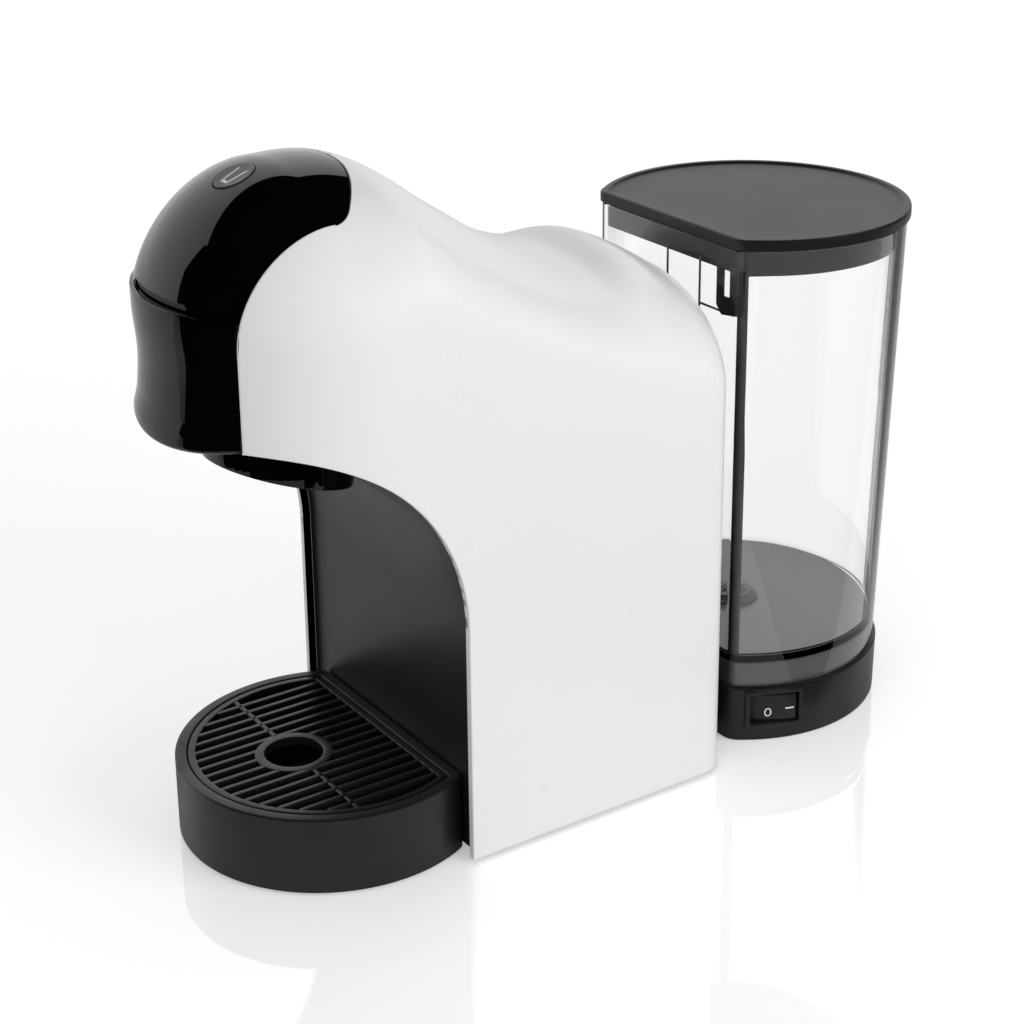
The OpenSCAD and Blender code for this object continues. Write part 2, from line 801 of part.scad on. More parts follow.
module cord_grommet() {
    y = dock_y + dock_r - 4.2;
    color([0.14, 0.14, 0.15])
        difference() {
            union() {
                translate([0, y, grommet_z])
                    rotate([-90, 0, 0])
                        cylinder(h = 4.2 + 1.4, r = cord_r + 2.2, $fn = 40);
                translate([0, y - 1.2, grommet_z])
                    rotate([-90, 0, 0])
                        cylinder(h = 1.6, r = cord_r + 3.6, $fn = 40);
            }
            translate([0, y - 5, grommet_z])
                rotate([-90, 0, 0])
                    cylinder(h = 20, r = cord_r, $fn = 40);
        }
}

// Height of the top of the water inlet, whose web holds the valve open
inlet_top = dock_top + 3;
module tank_inlet() {
    color([0.75, 0.75, 0.78])
        difference() {
            translate([0, dock_y, 0])
                union() {
                    translate([0, 0, 8])
                        cylinder(h = inlet_top - 8, r = valve_r - 0.6, $fn = 48);
                    translate([0, 0, 8])
                        cylinder(h = dock_top - dock_floor_t - 8, r = valve_r + 3, $fn = 48);
                }
            translate([0, dock_y, 10])
                difference() {
                    cylinder(h = 40, r = valve_r - 2.4, $fn = 48);
                    translate([-0.7, -9, 0])
                        cube([1.4, 18, inlet_top - 10]);
                }
            translate([0, dock_y, 12])
                rotate([90, 0, 0])
                    cylinder(h = 20, r = 1.8, $fn = 24);
        }
}

module inlet_seal() {
    color([0.7, 0.3, 0.2])
        translate([0, dock_y, dock_top - dock_floor_t])
            difference() {
                cylinder(h = 3.2, r = valve_r + 1.9, $fn = 48);
                translate([0, 0, -1])
                    cylinder(h = 10, r = valve_r - 0.6 + fit, $fn = 48);
            }
}

module switch_housing() {
    color([0.09, 0.09, 0.1])
        at_switch(0)
            difference() {
                union() {
                    translate([eps, -bezel_l / 2, -bezel_h / 2])
                        cube([1, bezel_l, bezel_h]);
                    translate([-14, -bezel_l / 2 + 1.2, -bezel_h / 2 + 1.2])
                        cube([14 + 2 * eps, bezel_l - 2.4, bezel_h - 2.4]);
                }
                translate([-5.5, -bezel_l / 2 + 2.4, -bezel_h / 2 + 2.4])
                    cube([10, bezel_l - 4.8, bezel_h - 4.8]);
                // journal of the rocker
                translate([-3, 0, -bezel_h])
                    cylinder(h = 2 * bezel_h, r = 0.6 + fit, $fn = 24);
                translate([-14.5, 0, 0])
                    rotate([0, 90, 0])
                        cylinder(h = 8, r = 2, $fn = 20);
            }
}

module switch_rocker() {
    l = bezel_l - 5.6;
    h = bezel_h - 5.4;
    color([0.13, 0.13, 0.14])
        at_switch(0)
            translate([-3, 0, 0])
                rotate([0, 0, -rocker_tilt])
                    union() {
                        translate([0, 0, -h / 2])
                            linear_extrude(h)
                                polygon([
                                    [-1.2, -l / 2 + 1], [2.2, -l / 2], [3.3, -l / 4], [3, 0],
                                    [3.3, l / 4], [2.2, l / 2], [-1.2, l / 2 - 1]
                                ]);
                        translate([0, 0, -bezel_h / 2 + 1.4])
                            cylinder(h = bezel_h - 2.8, r = 0.6, $fn = 24);
                    }
}

// ---- lever ----

// Part of the body form that lies in the black band, above the parting line
module lever_region(inset, low) {
    translate([0, 0, low])
        linear_extrude(crest_h)
            band_plan(inset);
}

// Thickness of the rear lip of the lever
lip_t = 0.6;
button_y = head_y - 24.8;
button_z = crest_h - 3.4;
button_lean = 23.2;
module at_button() {
    translate([0, button_y, button_z])
        rotate([button_lean, 0, 0])
            children();
}
lip_recess_hw = 18;
module lever_cover() {
    color([0.05, 0.05, 0.06])
        resize([0, 0, 0])
            difference() {
                intersection() {
                    union() {
                        difference() {
                            form(0, base_z);
                            form(wall, -1);
                        }
                        // boss that the lever frame is screwed to
                        intersection() {
                            form(1, base_z);
                            translate([-15, hinge_y - 27, frame_top])
                                cube([30, 7, 20]);
                        }
                    }
                    lever_region(seam, part_z);
                }
                // thin lip at the rear, which lifts clear of the shell
                intersection() {
                    form(lip_t, -2);
                    translate([-head_r, band_end - 14, 0])
                        cube([2 * head_r, 40, 2 * crest_h]);
                    difference() {
                        translate([-head_r, band_end - 2 * head_r, part_z])
                            cube([2 * head_r, 4 * head_r, crest_h]);
                        translate([0, band_end - head_r, 0])
                            cylinder(h = 2 * crest_h, r = head_r - seam - 3.2, $fn = 96);
                    }
                }
                at_button()
                    translate([0, 0, -12])
                        cylinder(h = 20, r = button_r + gap, $fn = 48);
                // finger recess over the parting line
                translate([-lip_recess_hw, head_y - chin_r, part_z - 1])
                    cube([2 * lip_recess_hw, chin_r - head_r + 4.4, 3.2]);
            }
}

frame_top = crest_h - 7.4;
module lever_frame() {
    color([0.25, 0.25, 0.27])
        difference() {
            union() {
                for (s = [-1, 1])
                    translate([s * 11 - 3, 0, 0])
                        union() {
                            rotate([90, 0, 90])
                                linear_extrude(6)
                                    polygon([for (q = [
                                        [0.5, -3], [-3.6, -5], [-8, -9.4], [-13, -14.4], [-19, -15.6],
                                        [-24, -11], [-26.5, 0], [-26.5, frame_top - hinge_z],
                                        [-21.6, frame_top - hinge_z], [-21.6, 3],
                                        [-19.8, -9.6], [-15.6, -11.6], [-12.6, -10.6], [-8.4, -6.6],
                                        [-4.6, -1.8], [-2.6, 1.4], [0, 3]
                                    ]) [hinge_y + q[0], hinge_z + q[1]]]);
                            translate([0, hinge_y, hinge_z])
                                rotate([0, 90, 0])
                                    cylinder(h = 6, r = pin_r + 1.7, $fn = 40);
                        }
                // plate across the arms, and the tongue that carries the button board
                translate([-14, hinge_y - 26.5, frame_top - 3.5])
                    cube([28, 6, 3.5]);
                translate([-10, button_y - 8, frame_top - 9])
                    cube([20, hinge_y - 24 - button_y + 8, 2]);
                translate([-10, hinge_y - 26.5, frame_top - 9])
                    cube([20, 2, 7]);
            }
            translate([-30, hinge_y, hinge_z])
                rotate([0, 90, 0])
                    cylinder(h = 60, r = pin_r + fit, $fn = 40);
        }
}

module button_board() {
    color([0.1, 0.35, 0.15])
        union() {
            translate([-9, button_y - 8, frame_top - 7])
                cube([18, 14, 1.4]);
            translate([-2.5, button_y, frame_top - 5.6 - eps])
                cube([5, 5, 1.6]);
        }
}

module lever_screws() {
    color("silver")
        for (x = [-4, 4])
            translate([x, hinge_y - 22.9, frame_top - 3.5 - 1.4])
                cylinder(h = 1.4, r = 1.3, $fn = 24);
}

module brew_button() {
    color([0.08, 0.08, 0.09])
        at_button()
            union() {
                translate([0, 0, -4])
                    cylinder(h = 4.3, r = button_r, $fn = 48);
                translate([0, 0, -6])
                    cylinder(h = 2 + eps, r = 1.6, $fn = 24);
            }
}

// ---- pod drawer ----

grip_bottom = under_z - 3.6;
grip_hw = band_hw - seam;
// Radius of the grip against height: full under the parting line, waisted, then out to the chin
function grip_r(z) =
    let (t = (z - grip_bottom) / (part_z - grip_bottom))
    head_r - 0.2 - waist * sin(180 * min(1, max(0, (t - 0.12) / 0.75))) ^ 2
    + (chin_flare + 0.2) * max(0, 1 - abs(t - 0.05) / 0.2) ^ 1.5;
module grip_profile(inset) {
    top = part_z - seam;
    n = 16;
    polygon(concat(
        [[head_r - 16, grip_bottom + inset], [chin_r - 5 - inset, grip_bottom + inset],
         [chin_r - 2 - inset, grip_bottom + 0.9 + inset]],
        [for (i = [1:n]) let (z = grip_bottom + 2.4 + (top - grip_bottom - 2.4) * (i - 1) / (n - 1))
            [grip_r(z) - inset, z + (i == n ? inset : 0)]],
        [[head_r - 16, top + inset]]
    ));
}

// Radius of the inner face of the grip, where the tray of the drawer is screwed on
grip_in = head_r - 3.6;
module drawer_front() {
    color([0.06, 0.06, 0.07])
        difference() {
            intersection() {
                translate([0, head_y, 0])
                    rotate_extrude($fn = 128)
                        grip_profile(0);
                translate([-grip_hw, head_y - chin_r - 1, grip_bottom - 1])
                    cube([2 * grip_hw, chin_r + 1 - head_r + 22, part_z]);
            }
            // hollow behind the grip
            intersection() {
                translate([0, head_y, grip_bottom + wall])
                    cylinder(h = part_z - grip_bottom - 2 * wall - seam, r = grip_in, $fn = 128);
                translate([-grip_hw + wall, head_y - head_r, grip_bottom])
                    cube([2 * (grip_hw - wall), 60, part_z]);
            }
            // arched lower edge
            translate([0, head_y, grip_bottom - 0.1])
                rotate([90, 0, 0])
                    difference() {
                        translate([-60, -10, 0])
                            cube([120, 14, 80]);
                        translate([0, 155, -1])
                            cylinder(h = 90, r = 155, $fn = 256);
                    }
        }
}

plate_hw = 31;
module drawer_tray() {
    color([0.2, 0.2, 0.21])
        difference() {
            union() {
                intersection() {
                    union() {
                        translate([-plate_hw, head_y - head_r, tray_z])
                            cube([2 * plate_hw, brew_y - 20 - head_y + head_r, tray_t]);
                        difference() {
                            translate([-plate_hw, head_y - head_r, tray_z])
                                cube([2 * plate_hw, 14, 18]);
                            translate([0, head_y, tray_z])
                                cylinder(h = 30, r = grip_in - 2.5, $fn = 128);
                        }
                    }
                    translate([0, head_y, tray_z - 1])
                        cylinder(h = 40, r = grip_in, $fn = 128);
                }
                translate([gap - rail_in, brew_y - 20.5, tray_z])
                    cube([2 * (rail_in - gap), 52, tray_t]);
                // runners, which stay inside the head when the drawer is out
                for (s = [-1, 1]) {
                    translate([s > 0 ? 30 : gap - rail_in, brew_y + 31, tray_z])
                        cube([rail_in - gap - 30, 4, tray_t]);
                    translate([s > 0 ? 30 : -runner_hw, brew_y + 33, tray_z])
                        cube([runner_hw - 30, 32, tray_t]);
                }
            }
            translate([0, brew_y, tray_z - 1])
                cylinder(h = 10, r = holder_r + fit, $fn = 64);
        }
}

module pod_holder() {
    flange_z = tray_z + tray_t;
    low = spout_z - 8;
    slack = 0.02;
    color([0.1, 0.1, 0.11])
        difference() {
            translate([0, brew_y, 0])
                union() {
                    translate([0, 0, flange_z + slack])
                        cylinder(h = rim_z - flange_z - slack, r = 31, $fn = 64);
                    translate([0, 0, tray_z - 2])
                        cylinder(h = rim_z - tray_z, r = holder_r, $fn = 64);
                    translate([0, 0, low])
                        cylinder(h = tray_z - 2 - low + eps, r1 = holder_r - 3.4, r2 = holder_r, $fn = 64);
                }
            // pod chamber, floor with its outlet, and the skirt round the outlet
            translate([0, brew_y, spout_z + 7])
                cylinder(h = tray_z - spout_z - 7, r1 = pod_r - 2.2, r2 = pod_r, $fn = 64);
            translate([0, brew_y, tray_z - eps])
                cylinder(h = 20, r = pod_r, $fn = 64);
            translate([0, brew_y, low - 1])
                difference() {
                    cylinder(h = spout_z + 5 - low + 1, r = pod_r - 3.6, $fn = 64);
                    cylinder(h = spout_z + 6 - low, r = 5, $fn = 40);
                }
            translate([0, brew_y, low - 1])
                cylinder(h = 30, r = 2.5, $fn = 32);
            translate([0, brew_y, rim_z - 1.3])
                cylinder(h = 20, r = pod_rim_r, $fn = 64);
            // slanted end
            translate([0, brew_y, spout_z])
                rotate([-spout_slope, 0, 0])
                    translate([-40, -40, -40])
                        cube([80, 80, 40]);
            // relief that lets the rim pass under the needle
            translate([-2.2, brew_y, needle_tip - 0.5])
                cube([4.4, 40, 20]);
        }
}
needle_tip = rim_z - 2.2;

module drawer_screws() {
    color("silver")
        for (a = [-24, 24])
            translate([0, head_y, tray_z + 11])
                rotate([0, 0, a])
                    translate([0, -grip_in + 2.5 + 1.4, 0])
                        rotate([90, 0, 0])
                            cylinder(h = 1.3, r = 2.5, $fn = 24);
}

// ---- needle ----

module needle_block() {
    color([0.35, 0.35, 0.36])
        difference() {
            translate([0, brew_y, 0])
                union() {
                    translate([0, 0, rim_z + 6])
                        cylinder(h = 40, r = guide_r, $fn = 48);
                    translate([0, 0, rim_z + 6])
                        cylinder(h = 8, r = 17, $fn = 48);
                }
            translate([0, brew_y, rim_z + 5])
                cylinder(h = 60, r = 1.1 + fit, $fn = 24);
        }
}

module needle() {
    color("silver")
        translate([0, brew_y, 0])
            union() {
                translate([0, 0, needle_tip + 1.8])
                    cylinder(h = 22, r = 1.1, $fn = 24);
                translate([0, 0, needle_tip])
                    cylinder(h = 1.8 + eps, r1 = 0.25, r2 = 1.1, $fn = 24);
            }
}

module needle_seal() {
    color([0.75, 0.25, 0.2])
        translate([0, brew_y, rim_z + 3.5])
            difference() {
                cylinder(h = 2.5, r = 14, $fn = 48);
                translate([0, 0, -1])
                    cylinder(h = 10, r = 2.4, $fn = 32);
            }
}

// ---- tank ----

tank_r = lid_r - 1.3;
tank_rim = lid_top - lid_t;
tank_shift = lid_y - dock_y;
tank_foot = dock_top + 0.2;
// Outline of the tank at a height: the arc shrinks and moves forward towards the foot
function tank_ring(z, inset) =
    let (t = (z - tank_foot) / (tank_rim - tank_foot))
    at_z(d_points(tank_r - tank_taper * (1 - t), dock_y + tank_shift * t, tank_flat + 1, inset), z);

module water_tank() {
    color([0.8, 0.86, 0.9, 0.4])
        difference() {
            skin([tank_ring(tank_rim, 0), tank_ring(tank_foot, 0)]);
            skin([tank_ring(tank_rim + 1, tank_wall), tank_ring(tank_floor, tank_wall)]);
            skin([tank_ring(tank_floor - 2.5, tank_wall), tank_ring(tank_foot - 1, tank_wall)]);
            translate([0, dock_y, tank_floor - 5])
                cylinder(h = 10, r = valve_r + 2, $fn = 48);
        }
}

// Seat of the valve, in a cup that hangs from the floor of the tank
seat_z = inlet_top + 2.4;
// Space round the valve, up to the strainer
chamber_r = valve_r + 0.4;
sump_top = tank_floor + 2;
module tank_sump() {
    color([0.3, 0.3, 0.32])
        translate([0, dock_y, 0])
            difference() {
                union() {
                    translate([0, 0, inlet_top + 0.4])
                        cylinder(h = sump_top - inlet_top - 0.4, r = valve_r + 2 - fit, $fn = 48);
                    translate([0, 0, tank_floor + 0.02])
                        cylinder(h = 1.2, r = valve_r + 3.5, $fn = 48);
                }
                translate([0, 0, inlet_top])
                    cylinder(h = 10, r = valve_r - 2, $fn = 48);
                translate([0, 0, seat_z])
                    cylinder(h = 20, r = chamber_r, $fn = 48);
            }
}

// Rise of the open valve above its seat
valve_open = 1.5;
disc_t = 1.6;
module tank_valve() {
    color([0.8, 0.8, 0.82])
        translate([0, dock_y, 0])
            union() {
                translate([0, 0, inlet_top + 0.4])
                    cylinder(h = seat_z + valve_open + disc_t + 1 - inlet_top - 0.4, r = 1.5, $fn = 24);
                translate([0, 0, seat_z + valve_open])
                    cylinder(h = disc_t, r = valve_r - 0.5, $fn = 40);
            }
}

spring_wire = 0.25;
spring_low = seat_z + valve_open + disc_t + spring_wire + 0.15;
spring_top = sump_top - spring_wire - 0.15;
module valve_spring() {
    color("gray")
        tube([for (i = [0:36]) let (a = i * 30) [
            3.4 * cos(a), dock_y + 3.4 * sin(a), spring_low + (spring_top - spring_low) * i / 36
        ]], spring_wire, 6);
}

// Strainer over the cup of the valve
module inlet_filter() {
    slots = 8;
    color([0.45, 0.45, 0.48])
        translate([0, dock_y, sump_top + 0.02])
            difference() {
                union() {
                    cylinder(h = 1.2, r = valve_r + 1.6, $fn = 48);
                    cylinder(h = 2, r = valve_r - 2, $fn = 40);
                }
                for (i = [0:slots - 1])
                    rotate([0, 0, 360 * i / slots])
                        translate([2, -0.5, -1])
                            cube([valve_r - 2.5, 1, 4]);
            }
}

module tank_lid() {
    color([0.2, 0.2, 0.21])
        difference() {
            union() {
                translate([0, 0, tank_rim + 0.3])
                    linear_extrude(lid_top - tank_rim - 0.3)
                        polygon(d_points(lid_r, lid_y, tank_flat));
                translate([0, 0, tank_rim - 7])
                    linear_extrude(7.3 + eps)
                        polygon(d_points(lid_r - 1.3, lid_y, tank_flat + 1, tank_wall + 0.7));
            }
            translate([0, 0, tank_rim - 8])
                linear_extrude(9)
                    polygon(d_points(lid_r - 1.3, lid_y, tank_flat + 1, tank_wall + 2.5));
            translate([0, 0, lid_top - 0.8])
                linear_extrude(2)
                    polygon(d_points(lid_r, lid_y, tank_flat, 3));
        }
}

// ---- drip tray ----

tray_back = leg_y + 3 - gap;
tray_low = 1;
module tray_plan(r, back) {
    intersection() {
        translate([0, head_y])
            circle(r, $fn = 128);
        translate([-r, head_y - r])
            square([2 * r, back - head_y + r]);
    }
}

module drip_tray() {
    color([0.1, 0.1, 0.11])
        difference() {
            translate([0, 0, tray_low])
                linear_extrude(tray_h - tray_low)
                    tray_plan(tray_r, tray_back);
            // basin
            translate([0, 0, tray_low + 5.4])
                linear_extrude(tray_h)
                    tray_plan(tray_r - tray_rim - 1.2, tray_back - tray_rim - 1.2);
            // ledge for the grid
            translate([0, 0, tray_h - grid_t - 0.4])
                linear_extrude(tray_h)
                    tray_plan(tray_r - tray_rim, tray_back - tray_rim);
            // slot over the tongue of the base
            translate([-tongue_w / 2 - gap, head_y - tray_r + 24 - gap, -1])
                cube([tongue_w + 2 * gap, 2 * tray_r, base_z + base_t + gap + 1]);
        }
}

module drip_grid() {
    pitch = 2 * (tray_r - tray_rim - 1) / (slot_count + 1);
    first = -(slot_count - 1) / 2 * pitch - slot_w / 2;
    top = tray_h - 0.1;
    low = top - grid_t;
    ring_r = grid_hole_r + 3.6;
    color([0.08, 0.08, 0.09])
        difference() {
            union() {
                difference() {
                    translate([0, 0, low])
                        linear_extrude(grid_t)
                            tray_plan(tray_r - tray_rim - gap, tray_back - tray_rim - gap);
                    intersection() {
                        translate([0, 0, low - 1])
                            linear_extrude(grid_t + 2)
                                tray_plan(tray_r - tray_rim - 3, tray_back - tray_rim - 3);
                        for (i = [0:slot_count - 1])
                            translate([first + i * pitch, head_y - tray_r, low - 1])
                                cube([slot_w, 2 * tray_r, grid_t + 2]);
                    }
                }
                translate([0, brew_y, low])
                    cylinder(h = grid_t, r = ring_r, $fn = 64);
                translate([-tray_r + tray_rim + 3, brew_y - 0.9, low])
                    cube([2 * (tray_r - tray_rim - 3), 1.8, grid_t]);
            }
            translate([0, brew_y, low - 1])
                cylinder(h = grid_t + 2, r = grid_hole_r, $fn = 64);
        }
}

outer_shell();
inner_front_panel();
rear_panel();
base_plate();
rubber_feet();
base_screws();
brew_frame();
hinge_pin();
brew_tube();
thermoblock();
thermostats();
thermoblock_bracket();
pump_body();
pump_mounts();
pump_cradle();
flow_meter();
suction_hose();
pressure_hose();
control_board();
board_bracket();
tank_dock();
tank_inlet();
inlet_seal();
switch_housing();
cord_grommet();
lever_cover();
lever_frame();
button_board();
lever_screws();
brew_button();
drawer_front();
drawer_tray();
pod_holder();
drawer_screws();
needle_block();
needle();
needle_seal();
switch_rocker();
water_tank();
tank_sump();
inlet_filter();
tank_valve();
valve_spring();
tank_lid();
drip_tray();
drip_grid();
pump_piston();
piston_spring();
flow_rotor();
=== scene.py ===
"""Looks of the pod coffee machine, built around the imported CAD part. Lengths are in millimetres
until a mesh is made, and then in metres."""

from math import acos, asin, atan2, cos, hypot, inf, pi, radians, sin, sqrt, tan

import bmesh
import bpy
import numpy as np
from mathutils import Matrix, Vector

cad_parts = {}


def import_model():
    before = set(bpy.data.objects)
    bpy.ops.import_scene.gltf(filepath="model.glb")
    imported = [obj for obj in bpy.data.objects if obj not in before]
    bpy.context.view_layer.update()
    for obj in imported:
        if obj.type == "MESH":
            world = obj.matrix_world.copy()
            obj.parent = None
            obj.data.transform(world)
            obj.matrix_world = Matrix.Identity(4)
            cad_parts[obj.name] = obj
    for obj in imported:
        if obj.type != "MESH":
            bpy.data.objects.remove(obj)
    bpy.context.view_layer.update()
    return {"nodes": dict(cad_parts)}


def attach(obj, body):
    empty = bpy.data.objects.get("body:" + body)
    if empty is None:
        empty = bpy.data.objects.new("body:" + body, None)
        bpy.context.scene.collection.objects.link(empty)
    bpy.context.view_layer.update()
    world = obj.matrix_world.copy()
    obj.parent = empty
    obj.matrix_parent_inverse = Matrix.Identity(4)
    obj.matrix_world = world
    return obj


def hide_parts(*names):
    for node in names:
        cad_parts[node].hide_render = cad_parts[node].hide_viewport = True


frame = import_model()
nodes = frame["nodes"]
MM = 0.001

# ---- dimensions shared with the CAD source, apart from SEAM, which is 0.5 there ----

HEAD_R, HEAD_Y, DEPTH = 57.0, -92.05, 133.2
REAR_Y = HEAD_Y + DEPTH
CREST, WALL, ROUND, NOSE_EXP = 236.9, 2.4, 2.1, 1.77
REAR_CORNER, REAR_EDGE = 12.0, 0.8
BASE_Z = 1.5
ARCH_R, ARCH_Y, ARCH_Z = 70.0, -139.85, 86.8
LEG_Y = ARCH_Y + ARCH_R
BAND_HW, BAND_FLARE, BAND_END, BAND_CORNER = 35.3, 3.5, HEAD_Y + 7.8, 8.0
# centre of the band's rounded rear corner, and of the bow that ends it
CORNER_X = BAND_HW + BAND_FLARE - BAND_CORNER
BOW_Y = BAND_END - HEAD_R
CORNER_Y = BOW_Y + sqrt((HEAD_R - BAND_CORNER) ** 2 - CORNER_X**2)
FLARE_START, FLARE_RUN = 46, 38
SEAM = 0.35
PART_Z = 199.0
BUTTON, BUTTON_LEAN = np.array([0, -116.85, 233.5]), radians(23.2)
BUTTON_R, HOLE_R = 7.0, 7.3
BREW_Y = HEAD_Y - 13.9
LID_Y, DOCK_Y, TANK_FLAT = 93.25, 89.05, 52.45
STATIONS = np.array([
    [-0.092, 0, 48.7], [0.096, 2.5, 41.3], [0.283, 18.8, 53.8], [0.471, 34.8, 64.9],
    [0.659, 43.5, 77.1], [0.809, 43.4, 86.4], [1, 57.2, 91.4],
])
STATION_Y = HEAD_Y + STATIONS[:, 0] * DEPTH


# ---- form of the body ----

def drop(y, k):
    """Smooth curve through column k of the stations."""
    v = STATIONS[:, k]
    slope = np.zeros(len(v))
    slope[-1] = (v[-1] - v[-2]) / (STATION_Y[-1] - STATION_Y[-2])
    slope[1:-1] = (v[2:] - v[:-2]) / (STATION_Y[2:] - STATION_Y[:-2])
    i = np.clip(np.searchsorted(STATION_Y, y, side="right") - 1, 0, len(v) - 2)
    h = STATION_Y[i + 1] - STATION_Y[i]
    t = np.maximum(0, (y - STATION_Y[i]) / h)
    return ((2 * t**3 - 3 * t**2 + 1) * v[i] + (t**3 - 2 * t**2 + t) * h * slope[i]
            + (3 * t**2 - 2 * t**3) * v[i + 1] + (t**3 - t**2) * h * slope[i + 1])


def shoulder(y, inset=0.0):
    return CREST - drop(y, 2) - inset / 2


def crest(y, inset=0.0):
    y = np.asarray(y, float)
    y0 = STATION_Y[0]
    s = np.clip((y0 - y) / (y0 - HEAD_Y + HEAD_R - inset), 0, 1)
    nose = STATIONS[0, 2] * (1 - (1 - s**NOSE_EXP) ** (1 / NOSE_EXP))
    edge = np.clip(y - REAR_Y + REAR_EDGE, 0, REAR_EDGE)
    rear = REAR_EDGE - np.sqrt(REAR_EDGE**2 - edge**2)
    return CREST - np.where(y > y0, drop(y, 1), nose) - inset - rear


def half_w(y, inset=0.0):
    y = np.asarray(y, float)
    r, c, ry = HEAD_R - inset, REAR_CORNER - inset, REAR_Y - inset
    front = np.sqrt(np.maximum(0, r**2 - (y - HEAD_Y) ** 2))
    rear = r - c + np.sqrt(np.maximum(0, c**2 - np.clip(y - ry + c, 0, c) ** 2))
    return np.where(y < HEAD_Y, front, rear)


def section(y, inset=0.0):
    """Half width, height of the shoulder and rise from there to the crest, at y."""
    low = shoulder(y, inset)
    return half_w(y, inset), low, np.maximum(0.5, crest(y, inset) - low)


def implicit(p, inset):
    x, y, z = p[:, 0], p[:, 1], p[:, 2]
    w, zs, h = section(y, inset)
    return (np.abs(x) / np.maximum(w, 1e-3)) ** ROUND + (np.maximum(z - zs, 0) / h) ** ROUND


def unit(v):
    return v / np.maximum(1e-12, np.linalg.norm(v, axis=1))[:, None]


def form_normals(p, inset=0.0):
    """Outward unit normals of the body form at points that lie on it."""
    p = np.asarray(p, float)
    g = np.zeros_like(p)
    for axis in range(3):
        d = np.zeros(3)
        d[axis] = 0.02
        g[:, axis] = implicit(p + d, inset) - implicit(p - d, inset)
    return unit(g)


def top_z(x, y, inset=0.0):
    w, zs, h = section(y, inset)
    return zs + h * np.maximum(0, 1 - (np.abs(x) / np.maximum(w, 1e-3)) ** ROUND) ** (1 / ROUND)


def band_edge(y, inset=0.0):
    """Half width in plan of the black band at y, set in by inset."""
    y = np.asarray(y, float)
    side = BAND_HW + BAND_FLARE * np.clip((y - HEAD_Y + FLARE_START) / FLARE_RUN, 0, 1) - inset
    corner = CORNER_X + np.sqrt(np.maximum(0, (BAND_CORNER - inset) ** 2 - (y - CORNER_Y) ** 2))
    tangent = BOW_Y + (HEAD_R - inset) / (HEAD_R - BAND_CORNER) * (CORNER_Y - BOW_Y)
    bow = np.sqrt(np.maximum(0, (HEAD_R - inset) ** 2 - (y - BOW_Y) ** 2))
    return np.where(y < CORNER_Y, side, np.where(y < tangent, corner, bow))


def band_stations(inset):
    """Values of y that follow the corner and the bowed rear end of the band."""
    top = atan2(CORNER_Y - BOW_Y, CORNER_X)
    return np.concatenate([
        CORNER_Y + (BAND_CORNER - inset) * np.sin(np.linspace(0, top, 12)),
        BOW_Y + (HEAD_R - inset) * np.sin(np.linspace(top, pi / 2, 26)),
    ])


def halved(test):
    """Value of y on the front half of the head up to which test holds."""
    lo, hi = HEAD_Y - HEAD_R, HEAD_Y
    for _ in range(60):
        mid = (lo + hi) / 2
        if test(mid):
            lo = mid
        else:
            hi = mid
    return hi


def spaced(values, least, lo=-inf, hi=inf):
    """The values from lo to hi in order, without those that follow the last one kept too closely."""
    out = []
    for v in sorted(v for v in values if lo <= v <= hi):
        if not out or v - out[-1] > least:
            out.append(v)
    return np.array(out)


# ---- mesh building ----

def linked(name, data):
    """New object with this data, in the scene."""
    ob = bpy.data.objects.new(name, data)
    bpy.context.scene.collection.objects.link(ob)
    return ob


